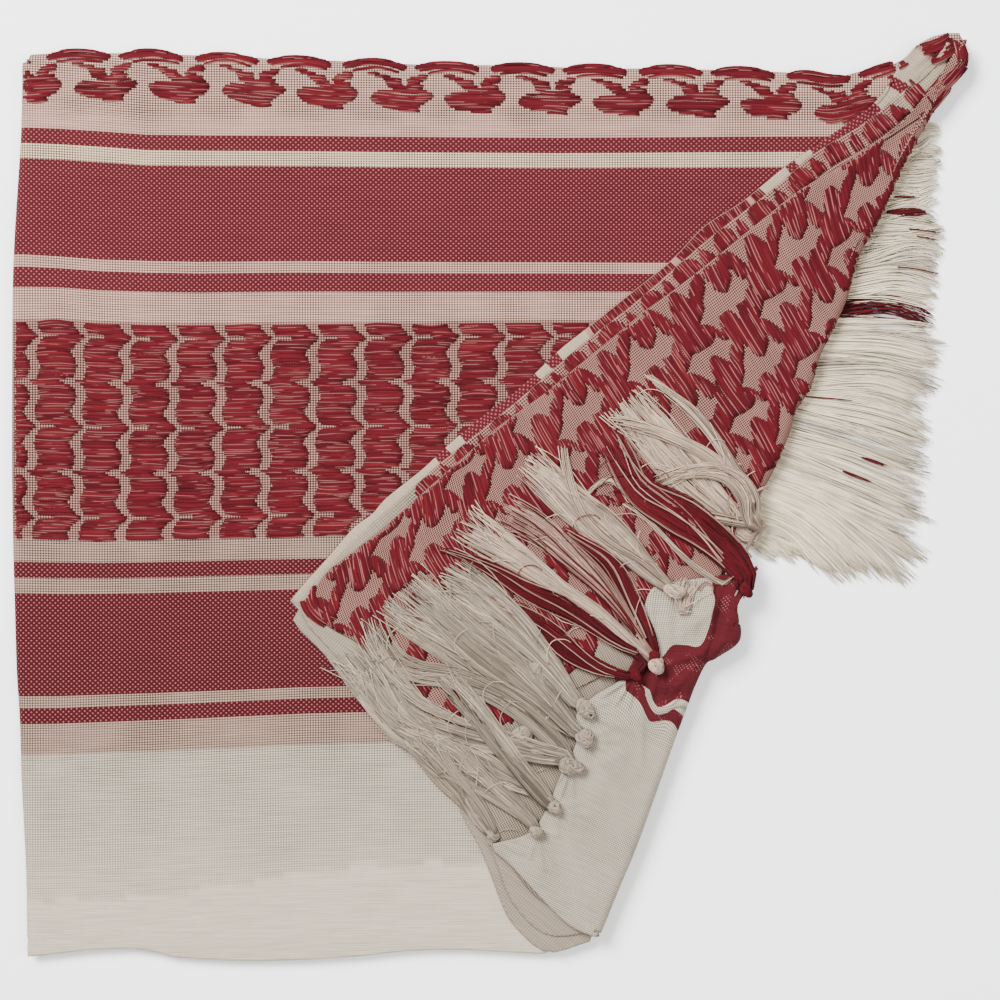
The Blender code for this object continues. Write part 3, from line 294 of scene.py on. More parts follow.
# Tassels: the knot, its size, smaller knots beside it, and its hanks
TASSELS = table("node yarn knot across lumps hanks",
    ("tassel_arched", "white", (117.7, -13.2), 4.4, [], hanks(
        ([(114.2, -11.4), (113.3, -1.8), (107.1, 7), (97.9, 11), (86, 10.6), (72.8, 5.3)], (7.5, 7.5, 5.7),
          90, 2.2),
        ([(112.9, -19.4), (104.9, -8.4), (92.6, 2.6), (79.4, 18), (66.2, 33.4), (58.3, 43.1)],
          (8.8, 17.6, 19.4), 150, 0),
        ([(114.6, -8.4), (109.3, 7), (100.5, 20.2), (92.6, 31.2), (81.2, 42.2), (67.5, 52.8)], (3.1, 2.6, 4),
          26, 1),
        ([(112.4, -4), (104.9, 10.6), (94.8, 19.4), (84.3, 24.6), (68.4, 29.9), (51.3, 33)], (4, 5.3, 5.3),
          44, 1.6),
        ([(115.5, -7), (110.7, 7.9), (104.5, 18), (97.9, 28.2), (88.2, 38.7), (72.8, 48.8)], (1.8, 1.8, 2.2),
          12, 1.4),
        ([(104.5, -37.4), (95.3, -34.8), (83.8, -26.4), (74.1, -16.3), (66.2, -8.4), (58.3, -3.1)],
          (1.3, 2.6, 1.8), 16, 2.4),
        ([(66.2, -4), (58.3, 2.6), (51.3, 7.9), (43.3, 1.8), (40.3, -5.3)], (3.5, 4.4, 1.3), 30, 1))),
    ("tassel_red_broad", "red", (111.5, -40.9), 4, [], hanks(
        ([(111.5, -34), (102.5, -23.5), (90.5, -13.5), (78, -5.5), (66.8, 1), (59.2, 11.4), (52.1, 22.4)],
          (12, 18, 6.5), 230, 1.8),
        ([(88.2, -11.4), (75, -0.9), (65.3, 7), (60.9, 18), (54.8, 29.9)], (3, 4.5, 3), 32, 1))),
    ("tassel_white_broad", "white", (80.3, -41.4), 5.7, [], hanks(
        ([(83.5, -50), (85.5, -43), (87.5, -36)], (2, 6, 9), 44, 0.6),
        ([(76.8, -38.7), (68.4, -31.7), (58.3, -22), (47.3, -13.6), (35.4, -3.1), (25.7, 7), (15.2, 15.4)],
          (7, 16, 14), 160, 0),
        ([(66.2, -29), (53, -20.7), (43.3, -11.4), (37.2, -0.4), (33.2, 13.6), (31.9, 22)], (2.2, 3.5, 3.1),
          22, 0.8))),
    ("tassel_red_slim", "red", (71.5, -70), 3.5, [], hanks(
        ([(70.2, -66.4), (66.2, -54.6), (59.6, -41.4), (52.1, -29), (43.3, -21.6), (31.9, -13.6)],
          (7, 8, 1.6), 70, 1.6))),
    ("tassel_pink", "pink", (73.3, -71.3), 2.6, [], hanks(
        ([(69.7, -68.6), (58.3, -51.9), (48.6, -38.7), (36.3, -26.4), (22.2, -14.1), (5.5, -4.4)],
          (3, 10, 15), 84, 0))),
    ("tassel_white_long", "white", (72.4, -73.9), 4.8, [], hanks(
        ([(68.9, -70.4), (58.3, -60.7), (46.4, -50.2), (31, -40.5), (13.4, -27.3), (-2, -17.2),
          (-12.1, -10.6)], (4, 6.6, 18.5), 150, 1.2))),
    ("tassel_red_pair", "red", (63.6, -77.9), 3.5, [], hanks(
        ([(68.4, -70.8), (55.2, -63.8), (43.3, -55), (31, -47.5), (16.9, -41.4), (3.7, -33.4), (-10.3, -26.8),
          (-21.8, -22.9)], (4, 9, 2.5), 74, 1.4),
        ([(60.1, -78.8), (48.6, -75.2), (36.3, -67.8), (23.1, -57.2), (11.2, -49.3), (-0.7, -44.9)],
          (4, 10, 2.5), 76, 1.8))),
    ("tassel_row_1", "row", (41.6, -92.4), 6.2, [(20.9, -77, 6.5), (36.7, -88.4, 5.5)], hanks(
        ([(37.6, -89.8), (31, -81), (20, -68.6), (6.8, -55.4), (-7.7, -44.4), (-22.7, -36.1)], (8, 19, 25),
          210, 0.8))),
    ("tassel_row_2", "row", (41.6, -105.2), 6.2, [], hanks(
        ([(36.3, -102.1), (25.7, -89.8), (9.9, -75.7), (-8.6, -62), (-24, -49.3), (-37.2, -38.3)],
          (8, 18, 17), 160, 0.4),
        ([(36.3, -103), (22.2, -92.4), (5.9, -81), (-15.2, -68.6), (-32.8, -57.6), (-46.4, -46.6)],
          (6.5, 15, 13), 120, 0))),
    ("tassel_row_3", "row", (35.4, -117.5), 7, [(14.3, -104.3, 6.5), (22, -111, 5)], hanks(
        ([(36.3, -114.8), (22.2, -112.6), (6.8, -108.2), (-13, -103), (-32.8, -95), (-49.1, -81),
          (-61.4, -65.6)], (9, 14, 24), 200, 1),
        ([(31, -109.6), (17.8, -96.8), (2.4, -86.2), (-15.2, -79.6), (-32.8, -77.4), (-44.7, -70),
          (-52.1, -53.2)], (6, 10, 9), 90, 0.6))),
    ("tassel_row_4", "row", (28.4, -135.5), 4.4, [], hanks(
        ([(26.2, -133.8), (20, -125.8), (12.5, -117), (3.7, -106.5), (-8.6, -91.1), (-19.1, -77.4)],
          (8, 10, 10), 100, 1.4),
        ([(22.2, -129.4), (6.8, -122.8), (-8.6, -114.8), (-26.2, -108.2), (-43.8, -95), (-56.1, -77.4)],
          (6, 13, 20), 130, 0))),
    ("tassel_row_5", "row", (20.5, -146.1), 4, [], hanks(
        ([(16.9, -140.4), (5.9, -130.2), (-6.4, -120.6), (-18.3, -110.9), (-32.8, -105.2), (-42.9, -99.4)],
          (7, 15, 14), 110, -0.6))),
    ("tassel_row_6", "row", (1.5, -148.3), 4, [], hanks(
        ([(-2, -143.4), (-9.5, -132.9), (-17.4, -122.8), (-25.3, -112.6), (-34.1, -103.8)], (7, 12, 14), 100,
          0.2))))

# Loose threads on the knotted end
END_THREADS = table("route across yarns",
    ([(90.9, -40.9), (93.9, -37.8), (97, -39.2), (97.9, -42.2)], 1.3, 6),
    ([(106.7, -43.6), (109.3, -39.2), (111.5, -40.9), (110.7, -44.9)], 1.1, 5))


# ---------------------------------------------------------------- colours and settings

def linear(colour):
    """Turn an sRGB hex colour such as "#b0a69c" to linear RGBA."""
    parts = [int(colour[i:i + 2], 16) / 255 for i in (1, 3, 5)]
    return [c / 12.92 if c <= 0.04045 else ((c + 0.055) / 1.055) ** 2.4 for c in parts] + [1.0]


def colour_setting(name, colour):
    """A colour that the user can change."""
    return bpy.props.FloatVectorProperty(name=name, subtype="COLOR", size=4, min=0.0, max=1.0,
                                         default=linear(colour))


def size_setting(name, description, millimetres):
    """A length that the user can change."""
    return bpy.props.FloatProperty(name=name, description=description, default=millimetres * MM,
                                   min=0.1 * MM, unit="LENGTH", precision=5)


class KeffiyehCloth(bpy.types.PropertyGroup):
    """Weave and float sizes."""

    warp_pitch: size_setting("Warp pitch", "Distance between warp yarns", 1.17)
    weft_pitch: size_setting("Weft pitch", "Distance between weft yarns and floats", 1.08)
    thickness: size_setting("Cloth thickness", "Thickness of one layer of cloth", 0.6)
    float_width: size_setting("Float width", "Width of a float of red yarn", 1.32)


class KeffiyehColours(bpy.types.PropertyGroup):
    """Colours of the weft yarns, by what lies round and below them and by painted shade, and of the warp
    between dyed wefts.
    """

    white: colour_setting("Undyed", "#a79c8b")
    rosy: colour_setting("Undyed above red", "#ad897b")
    bright: colour_setting("Undyed stripe", "#bfa58c")
    blush: colour_setting("Undyed between floats", "#936a60")
    cream: colour_setting("Undyed in the turned-back end", "#978674")
    # Painted shade: the undyed weft of the lower bands, darker than the rest
    dusky: colour_setting("Undyed in the lower bands, in painted shade", "#957b6d")
    shaded: colour_setting("Undyed in the shade", "#887b6c")
    red: colour_setting("Dyed", "#48151a")
    # Painted shade: the dyed weft of the lower bands, darker than the red above
    deep: colour_setting("Dyed in the lower bands, in painted shade", "#3d1014")
    warp: colour_setting("Warp between dyed wefts", "#7d4446")


class KeffiyehFringe(bpy.types.PropertyGroup):
    """Fringe and tassel sizes."""

    yarn: size_setting("Fringe yarn", "Thickness of a loose yarn", 0.46)
    per_millimetre: bpy.props.FloatProperty(
        name="Yarns per millimetre", description="How closely the fringe's yarns leave the fold",
        default=6.2, min=0.5)


class KeffiyehStage(bpy.types.PropertyGroup):
    """Camera and light."""

    lens: bpy.props.FloatProperty(
        name="Lens", description="Focal length of the camera", default=100.0, min=10.0, unit="CAMERA")
    framed: bpy.props.FloatProperty(
        name="Framed width", description="Width of floor that the camera sees", default=0.44, min=0.1,
        unit="LENGTH")
    key_power: bpy.props.FloatProperty(
        name="Key light", description="Power of the large soft light", default=134.4, min=0.0, unit="POWER")
    fill_power: bpy.props.FloatProperty(
        name="Fill light", description="Power of the second light", default=45.6, min=0.0, unit="POWER")


RED_TONES = [(0.0, "#2c070b"), (0.35, "#400b12"), (0.65, "#4b0e15"), (0.9, "#56151a"), (1.0, "#601d1d")]
FRINGE_TONES = [(0.0, "#3f3831"), (0.3, "#a39582"), (0.6, "#d1c2a9"), (1.0, "#ecddc3")]
TASSEL_TONES = [(0.0, "#382c26"), (0.3, "#77655a"), (0.65, "#a48e7c"), (1.0, "#c8b098")]
# The row tassels' tones: a darker copy of the tassel tones, painted shade
SHADED_TASSEL_TONES = [(0.0, "#241d19"), (0.3, "#5f554b"), (0.65, "#897b6c"), (1.0, "#b09f8b")]
PINK_TONES = [(0.0, "#4f3832"), (0.5, "#87685c"), (1.0, "#b19182")]
# Colour seen between the tassels' yarns: painted shadow
TASSEL_GAP_SHADOW = "#443c35"


# ---------------------------------------------------------------- materials

def add_node(tree, kind, settings=None, **inputs):
    """Add a shader node, with its settings, and link or fill its inputs by name or number."""
    node = tree.nodes.new("ShaderNode" + kind)
    for name, value in (settings or {}).items():
        setattr(node, name, value)
    for name, value in inputs.items():
        key = int(name[1:]) if name[1:].isdigit() else name.replace("_", " ")
        if isinstance(value, bpy.types.NodeSocket):
            tree.links.new(value, node.inputs[key])
        else:
            node.inputs[key].default_value = value
    return node


def maths(tree, operation, first, second=0.5, third=0.5):
    """A maths node's result."""
    return add_node(tree, "Math", {"operation": operation}, _0=first, _1=second, _2=third).outputs[0]


def ranged(tree, value, low, high, start=0.0, end=1.0, easing="LINEAR"):
    """A value taken from low..high to start..end."""
    return add_node(tree, "MapRange", {"interpolation_type": easing},
                    _0=value, _1=low, _2=high, _3=start, _4=end).outputs[0]


def stepped(tree, value, low, high, start=0.0, end=1.0):
    """The same, eased at both ends."""
    return ranged(tree, value, low, high, start, end, "SMOOTHSTEP")


def mix(tree, part, first, second):
    """A mix of two colours."""
    return add_node(tree, "Mix", {"data_type": "RGBA"}, _0=part, _6=first, _7=second).outputs[2]


def attribute(tree, name):
    """Values that the mesh carries."""
    return add_node(tree, "Attribute", {"attribute_name": name})


def noise(tree, vector, scale, detail):
    """Noise of one scale, or of a scale for each axis."""
    if isinstance(scale, tuple):
        vector = add_node(tree, "VectorMath", {"operation": "MULTIPLY"}, _0=vector, _1=scale).outputs[0]
        scale = 1.0
    return add_node(tree, "TexNoise", Vector=vector, Scale=scale, Detail=detail).outputs[0]


def new_material(name, roughness):
    """A cotton material: rough, with the soft sheen that loose fibres give at grazing angles."""
    material = bpy.data.materials.new(name)
    material.use_nodes = True
    shader = material.node_tree.nodes["Principled BSDF"]
    for key, value in (("Roughness", roughness), ("IOR", 1.53), ("Specular IOR Level", 0.04),
                       ("Sheen Weight", 0.02), ("Sheen Roughness", 0.6)):
        shader.inputs[key].default_value = value
    return material


def finish_material(material, colour, height, strength, distance):
    """Give a material its colour and its bump."""
    tree = material.node_tree
    shader = tree.nodes["Principled BSDF"]
    bump = add_node(tree, "Bump", Strength=strength, Distance=distance * MM, Height=height)
    tree.links.new(colour, shader.inputs["Base Color"])
    tree.links.new(bump.outputs[0], shader.inputs["Normal"])
    return material


def weft_ramp(tree, position, stripes, low, high, colours):
    """Colour of the weft at a position from low to high, in hard-edged stripes, and whether it is dyed."""
    ramp = add_node(tree, "ValToRGB", Fac=ranged(tree, position, low, high))
    band = ramp.color_ramp
    band.interpolation = "CONSTANT"
    band.elements.remove(band.elements[1])
    for number, (start, weft) in enumerate(sorted(stripes)):
        element = band.elements[0] if number == 0 else band.elements.new((start - low) / (high - low))
        element.color = [*getattr(colours, weft)[:3], 1.0 if weft in ("red", "deep") else 0.0]
    return ramp.outputs["Color"], ramp.outputs["Alpha"]


def woven_cotton(name, scene, stripes=None, low=0.0, high=1.0, dye=False, hole="#1a1411", patchy=False):
    """Plain-woven cotton muslin: white warp over and under a weft that changes colour in stripes.

    It gives the eye a net of small dark holes in the white, and rows of pink dots in the red. The holes'
    colour is painted shade: the shadowed depth between the threads, as strong as the weave's shade says.
    """
    cloth, colours = scene.keffiyeh_cloth, scene.keffiyeh_colours
    material = new_material(name, 0.9)
    tree = material.node_tree
    weave = attribute(tree, "weave").outputs["Vector"]
    across, along, shade = add_node(tree, "SeparateXYZ", Vector=weave).outputs
    waves = [maths(tree, "SINE", maths(tree, "MULTIPLY", position, math.pi / pitch)) for position, pitch
             in ((across, cloth.warp_pitch / MM), (along, cloth.weft_pitch / MM))]
    over = maths(tree, "MULTIPLY", waves[0], waves[1])
    sizes = [maths(tree, "ABSOLUTE", wave) for wave in waves]
    net = stepped(tree, maths(tree, "ADD", sizes[0], sizes[1]), 0.55, 1.95, 1.0, 0.0)
    thin = ranged(tree, noise(tree, weave, 0.035, 3.0), 0.35, 0.65, 0.86, 1.12)
    uneven = ranged(tree, noise(tree, weave, (0.05, 0.9, 0.0), 2.0), 0.3, 0.7, 0.88, 1.09)
    if stripes:
        position = attribute(tree, "dye").outputs["Fac"] if dye else along
        weft, dyed = weft_ramp(tree, position, stripes, low, high, colours)
        shows = stepped(tree, maths(tree, "MULTIPLY_ADD", dyed, -0.17, over), 0.08, 0.5)
        if patchy:
            shows = maths(tree, "MULTIPLY", shows, stepped(tree, noise(tree, weave, 0.11, 1.0), 0.54, 0.62))
        threads = mix(tree, shows, weft, mix(tree, dyed, weft, colours.warp))
        # Painted shade seen through the holes: near black under the undyed weft, dark red under the dyed
        hole_colour = mix(tree, dyed, linear(hole), linear("#25090c"))
        net = maths(tree, "MULTIPLY", net, maths(tree, "MULTIPLY_ADD", dyed, -0.5, 1.0))
    else:
        # Painted shade seen through the holes
        threads, hole_colour = colours.white[:3], linear(hole)
    toned = add_node(tree, "VectorMath", {"operation": "SCALE"}, _0=threads, _3=uneven).outputs[0]
    dark = maths(tree, "MULTIPLY", maths(tree, "MULTIPLY", net, shade), thin)
    colour = mix(tree, maths(tree, "MINIMUM", dark, 1.0), toned, hole_colour)
    return finish_material(material, colour, maths(tree, "ABSOLUTE", over), 0.6, 0.25)


def spun_yarn(name, tones, edge, edge_share):
    """Loosely spun cotton yarn: each has its own tone, soft streaks, and one edge where it meets the next.

    It gives the eye a mass of fine lines. The edge colour is painted: a painted shadow between two yarns, and
    on the red floats the paler cloth between them with a painted highlight on the edge fibres.
    """
    material = new_material(name, 0.8)
    tree = material.node_tree
    yarn = attribute(tree, "yarn").outputs["Vector"]
    side = add_node(tree, "SeparateXYZ", Vector=yarn).outputs[2]
    streak = noise(tree, yarn, (0.12, 40.0, 3.0), 2.0)
    spread = maths(tree, "MULTIPLY_ADD", streak, 0.5, attribute(tree, "tone").outputs["Fac"])
    ramp = add_node(tree, "ValToRGB", Fac=maths(tree, "SUBTRACT", spread, 0.25))
    band = ramp.color_ramp.elements
    for element, (place, colour) in zip(band, (tones[0], tones[-1])):
        element.position, element.color = place, linear(colour)
    for place, colour in tones[1:-1]:
        band.new(place).color = linear(colour)
    # The edge line, broken here and there: painted shadow between yarns, or on the red floats paler cloth
    # with a painted highlight
    start = 0.62 - 0.3 * edge_share
    broken = stepped(tree, noise(tree, yarn, (0.07, 90.0, 0.0), 1.0), start, start + 0.1, 0.0, 0.9)
    line = maths(tree, "MULTIPLY", stepped(tree, side, 0.25, 0.75), broken)
    return finish_material(material, mix(tree, line, ramp.outputs["Color"], linear(edge)), streak, 0.35, 0.15)


# ---------------------------------------------------------------- lines, grids and maps

def arc_lengths(line):
    """Distance along a line of each of its points."""
    return np.concatenate([[0.0], np.cumsum(np.linalg.norm(np.diff(line, axis=0), axis=1))])


def evenly(line, count):
    """Count points, evenly spaced along a polyline."""
    at = arc_lengths(line)
    wanted = np.linspace(0, at[-1], count)
    return np.stack([np.interp(wanted, at, line[:, k]) for k in range(line.shape[1])], axis=1)


def smooth_line(points, count):
    """Count points, evenly spaced on a smooth curve through the given ones."""
    knots = np.asarray(points, float)
    knots = np.vstack([2 * knots[0] - knots[1], knots, 2 * knots[-1] - knots[-2]])
    t = np.linspace(0, 1, 13)[:-1, None]
    fine = []
    for a, b, c, d in zip(knots, knots[1:], knots[2:], knots[3:]):
        fine.append(0.5 * (2 * b + (c - a) * t + (2 * a - 5 * b + 4 * c - d) * t * t
                           + (3 * b - a - 3 * c + d) * t ** 3))
    return evenly(np.vstack(fine + [knots[-2]]), count)


def unit_across(line):
    """Unit normals to the left of travel along a line."""
    along = np.gradient(line, axis=0)
    along /= np.maximum(np.linalg.norm(along, axis=1, keepdims=True), 1e-9)
    return np.column_stack([-along[:, 1], along[:, 0]])


def left_normals(loop):
    """Unit normals to the left of travel round a closed loop."""
    along = np.roll(loop, -1, axis=0) - np.roll(loop, 1, axis=0)
    along /= np.maximum(np.linalg.norm(along, axis=1, keepdims=True), 1e-9)
    return np.stack([-along[:, 1], along[:, 0]], axis=1)


def inset_loop(loop, insets):
    """Move each point of a clockwise loop inwards."""
    return loop - left_normals(loop) * np.asarray(insets, float)[:, None]


def four_sides(left, top, right, bottom, rows, columns):
    """One clockwise loop of points: up the left, along the top, down the right and back."""
    sides = ((left, rows), (top, columns), (right, rows), (bottom, columns))
    return np.vstack([smooth_line(side, count + 1)[:-1] for side, count in sides])


def coons_grid(loop, rows, columns):
    """Fill a four-sided loop with a grid of points, which follows all four sides."""
    left, top = loop[:rows + 1], loop[rows:rows + columns + 1]
    right = loop[rows + columns:2 * rows + columns + 1][::-1]
    bottom = np.vstack([loop[2 * rows + columns:], loop[:1]])[::-1]
    v = np.linspace(0, 1, rows + 1)[:, None, None]
    u = np.linspace(0, 1, columns + 1)[None, :, None]
    across = left[:, None] * (1 - u) + right[:, None] * u
    along = bottom[None] * (1 - v) + top[None] * v
    corners = ((bottom[0] * (1 - u) + bottom[-1] * u) * (1 - v) + (top[0] * (1 - u) + top[-1] * u) * v)
    grid = across + along - corners
    for _ in range(600):
        grid[1:-1, 1:-1] = (grid[:-2, 1:-1] + grid[2:, 1:-1] + grid[1:-1, :-2] + grid[1:-1, 2:]) / 4
    return grid


def thin_plate(start, end):
    """A smooth map of the plane that takes each start point to its end point."""
    count = len(start)

    def kernel(a, b):
        """Radial weights between two sets of points."""
        square = ((a[:, None] - b[None]) ** 2).sum(2)
        return square * np.log(square + 1e-9)

    flat = np.hstack([np.ones((count, 1)), start])
    system = np.zeros((count + 3, count + 3))
    system[:count, :count] = kernel(start, start)
    system[:count, count:] = flat
    system[count:, :count] = flat.T
    weights = np.linalg.solve(system, np.vstack([end, np.zeros((3, 2))]))

    def place(points):
        """Map an array of points."""
        points = np.asarray(points, float)
        return kernel(points, start) @ weights[:count] + weights[count] + points @ weights[count + 1:]

    return place


def beside(line):
    """A map from distances off and along a line to x, y."""
    at, across = arc_lengths(line), unit_across(line)

    def place(points):
        """Map an array of points."""
        return np.column_stack([np.interp(points[:, 1], at, line[:, k])
                                + points[:, 0] * np.interp(points[:, 1], at, across[:, k]) for k in range(2)])

    return place


def drape(points):
    """Height of the slow unevenness at each point."""
    total = sum(np.sin((a * points[..., 0] + b * points[..., 1]) / DRAPE_LENGTH + start)
                for a, b, start in DRAPE_WAVES)
    return DRAPE_HEIGHT * (0.5 + total / 6)


def ridges(points, rows):
    """Height that raised or sunk folds add: rows of start, end, height and half width."""
    total = np.zeros(points.shape[:-1])
    for start, end, height, spread in rows:
        start, end = np.array(start, float), np.array(end, float)
        along = end - start
        t = np.clip(((points - start) @ along) / (along @ along), 0, 1)
        away = np.linalg.norm(points - start - t[..., None] * along, axis=-1)
        total += height * (1 - 0.6 * np.abs(2 * t - 1) ** 2) * np.exp(-(away / spread) ** 2)
    return total


def along_edge(points, edge):
    """How far each point lies from an edge line, and how far along that edge."""
    line = smooth_line(edge, 400)
    onward = (line[-1] - line[-6]) / np.linalg.norm(line[-1] - line[-6])
    line = np.vstack([line, line[-1] + onward * np.arange(1, 200)[:, None]])
    nearest = ((points[:, None] - line[None]) ** 2).sum(2).argmin(1)
    return np.sqrt(((points - line[nearest]) ** 2).sum(1)), arc_lengths(line)[nearest]


def inside(points, loop):
    """Whether each point is inside a loop."""
    x, y = points[:, 0], points[:, 1]
    found = np.zeros(len(points), bool)
    for (ax, ay), (bx, by) in zip(loop, np.roll(loop, -1, axis=0)):
        if ay != by:
            found ^= ((ay > y) != (by > y)) & (x < (bx - ax) * (y - ay) / (by - ay) + ax)
    return found


def signed_distance(points, loop):
    """Distance of each point from a loop's line, positive inside it."""
    least = np.full(len(points), 1e9)
    for start, end in zip(loop, np.roll(loop, -1, axis=0)):
        along = end - start
        t = np.clip((points - start) @ along / (along @ along), 0, 1)
        least = np.minimum(least, np.linalg.norm(points - start - t[:, None] * along, axis=1))
    return np.where(inside(points, loop), least, -least)


def bow(points):
    """How far the panel's stripes lie above their place at each point."""
    xs = [row["x"] for row in STRIPE_BOW]
    columns = [np.interp(points[:, 0], xs, heights) for heights in zip(*(row["up"] for row in STRIPE_BOW))]
    total = columns[0].copy()
    for high, low, upper, lower in zip(BOW_HEIGHTS, BOW_HEIGHTS[1:], columns, columns[1:]):
        t = np.clip((high - points[:, 1]) / (high - low), 0, 1)
        total = np.where(points[:, 1] < high, upper * (1 - t) + lower * t, total)
    return total


def panel_to_world(points):
    """From cloth places on the panel to x, y."""
    return np.column_stack([points[:, 0], points[:, 1] + bow(points)])


def panel_weave(points):
    """From x, y on the panel to cloth places."""
    out = points.copy()
    out[:, 1] -= bow(points)
    out[:, 1] -= bow(out) - bow(points)
    return out


# ---------------------------------------------------------------- building blocks

def add_values(data, title, values):
    """Give each point of a mesh a number or a vector."""
    values = np.asarray(values, np.float32)
    kind, key = ("FLOAT_VECTOR", "vector") if values.ndim == 2 else ("FLOAT", "value")
    data.attributes.new(title, kind, "POINT").data.foreach_set(key, values.ravel())


def mesh_object(name, verts, faces, material, attributes=()):
    """A smooth-shaded mesh from points in millimetres, with its attributes: name and values."""
    data = bpy.data.meshes.new(name)
    data.from_pydata((np.asarray(verts, float) * MM).tolist(), [], faces)
    for title, values in attributes:
        add_values(data, title, values)
    data.materials.append(material)
    data.update()
    data.shade_smooth()
    piece = bpy.data.objects.new(name, data)
    bpy.context.scene.collection.objects.link(piece)
    return piece


def finish_piece(piece, node):
    """Let a piece ride on the part and stand for its node."""
    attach(piece, "root")
    if node:
        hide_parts(node)


def edge_profile(curl, drop):
    """Out, down and arc length of a soft edge (curl 0) or a turned one with a skirt (curl 1)."""
    rows = []
    out, down, length = 0.0, 0.0, 0.0
    for step in range(1, EDGE_STEPS + 1):
        slope = math.radians(75.0) * (step / EDGE_STEPS)
        turn = math.radians(90.0) * min(1.0, step / (EDGE_STEPS - 2))
        skirt = max(0.0, step - (EDGE_STEPS - 2)) / 2
        turned = (LIP * math.sin(turn), LIP * (1 - math.cos(turn)) + (drop - LIP) * skirt)
        gentle = (SOFT_EDGE * math.sin(slope), SOFT_EDGE * (1 - math.cos(slope)))
        new = tuple(g * (1 - curl) + t * curl for g, t in zip(gentle, turned))
        length += math.hypot(new[0] - out, new[1] - down)
        out, down = new
        rows.append((out, down, length))
    return rows


def cloth_shell(name, loop, size, top, curls, foot, height, weave, material, thickness):
    """A thin woven sheet inside a loop, with soft or turned edges, given thickness by Solidify."""
    rows, columns = size
    profiles = np.array([edge_profile(curl, top - foot) for curl in curls])
    inner = inset_loop(loop, profiles[:, -1, 0])
    outward = left_normals(inner)
    grid = coons_grid(inner, rows, columns).reshape(-1, 2)
    flats, woven, downs = [grid], [grid], [np.zeros(len(grid))]
    for out, down, length in profiles.transpose(1, 2, 0):
        flats.append(inner + outward * out[:, None])
        woven.append(inner + outward * length[:, None])
        downs.append(down)
    flat, down = np.vstack(flats), np.concatenate(downs)
    lift = (drape(flat) + height(flat)) * (1 - down / (top - foot))
    width = columns + 1
    faces = [(j * width + i, (j + 1) * width + i, (j + 1) * width + i + 1, j * width + i + 1)
             for j in range(rows) for i in range(columns)]
    ring = ([j * width for j in range(rows)] + [rows * width + i for i in range(columns)]
            + [j * width + columns for j in range(rows, 0, -1)] + list(range(columns, 0, -1)))
    count = len(ring)
    for step in range(EDGE_STEPS):
        wider = [(rows + 1) * width + step * count + i for i in range(count)]
        faces += [(ring[i], wider[i], wider[(i + 1) % count], ring[(i + 1) % count]) for i in range(count)]
        ring = wider
    piece = mesh_object(name, np.column_stack([flat, top - down + lift]), [face[::-1] for face in faces],
                        material, [("weave", weave(np.vstack(woven)))])
    wall = piece.modifiers.new("Thickness", "SOLIDIFY")
    wall.thickness = thickness
    wall.offset = -1.0
    return piece


class Surface:
    """Reads the height of the cloth from the top sheets of the given names."""

    def __init__(self, *names):
        verts, faces = [], []
        for name in names:
            data, start = bpy.data.objects[name].data, len(verts)
            verts += [v.co / MM for v in data.vertices]
            faces += [[start + i for i in face.vertices] for face in data.polygons]
        self.tree = BVHTree.FromPolygons(verts, faces)

    def height(self, x, y):
        """Height of the top sheet at x, y, or of the nearest place on it."""
        hit = self.tree.ray_cast(Vector((x, y, 60.0)), Vector((0, 0, -1)))[0]
        return hit.z if hit else self.tree.find_nearest(Vector((x, y, 6.0)))[0].z


class Pile(Surface):
    """Keeps the height of what lies on the cloth, so that later yarns lie over earlier ones."""

    cell, most, sunk = 2, 3.6, 0.5

    def __init__(self, *names):
        super().__init__(*names)
        self.tops = {}

    def key(self, x, y):
        """The cell that x, y is in."""
        return round(x / self.cell), round(y / self.cell)

    def top(self, x, y):
        """Height that a yarn rests on at x, y."""
        cloth = self.height(x, y)
        return min(max(cloth, self.tops.get(self.key(x, y), 0.0)), cloth + self.most)

    def tops_along(self, line):
        """Heights that a yarn rests on along a line."""
        return np.array([self.top(x, y) for x, y in line])

    def add(self, routes):
        """Remember the yarns of routes."""
        for route in routes:
            for x, y, z in route["points"]:
                key = self.key(x, y)
                self.tops[key] = max(self.tops.get(key, 0.0), z - self.sunk)


def yarn_mesh(name, routes, material, node=None, sides=3):
    """Yarns as one finished piece. A route has its points, width and tone, and may be flat."""
    verts, faces, marks, tones = [], [], [], []
    total = 0
    angles = np.linspace(0, 2 * math.pi, sides, endpoint=False) + math.pi / sides
    across = 2 * (np.cos(angles) - np.cos(angles).min()) / np.ptp(np.cos(angles)) - 1
    high = np.sin(angles) / np.sin(angles).max()
    for route in routes:
        points = np.asarray(route["points"], float)
        count = len(points)
        tangents = np.gradient(points, axis=0)
        tangents /= np.maximum(np.linalg.norm(tangents, axis=1, keepdims=True), 1e-9)
        side = np.cross(tangents, (0, 0, 1.0))
        side /= np.maximum(np.linalg.norm(side, axis=1, keepdims=True), 1e-9)
        up = np.cross(side, tangents)
        half = np.broadcast_to(route["width"], count)[:, None, None] / 2
        verts.append((points[:, None] + side[:, None] * across[None, :, None] * half
                      + up[:, None] * high[None, :, None] * half * route.get("flat", 1.0)).reshape(-1, 3))
        tone = np.broadcast_to(route["tone"], count)
        tones.append(np.repeat(tone, sides))
        marks.append(np.column_stack([np.repeat(arc_lengths(points), sides),
                                      np.full(count * sides, tone.max()), np.tile(across, count)]))
        last = total + (count - 1) * sides
        for a in range(total, last, sides):
            b = a + sides
            faces += [(a + k, a + (k + 1) % sides, b + (k + 1) % sides, b + k) for k in range(sides)]
        faces.append(tuple(total + k for k in range(sides))[::-1])
        faces.append(tuple(last + k for k in range(sides)))
        total += count * sides
    piece = mesh_object(name, np.vstack(verts), faces, material,
                        [("yarn", np.vstack(marks)), ("tone", np.concatenate(tones))])
    finish_piece(piece, node)
    return piece


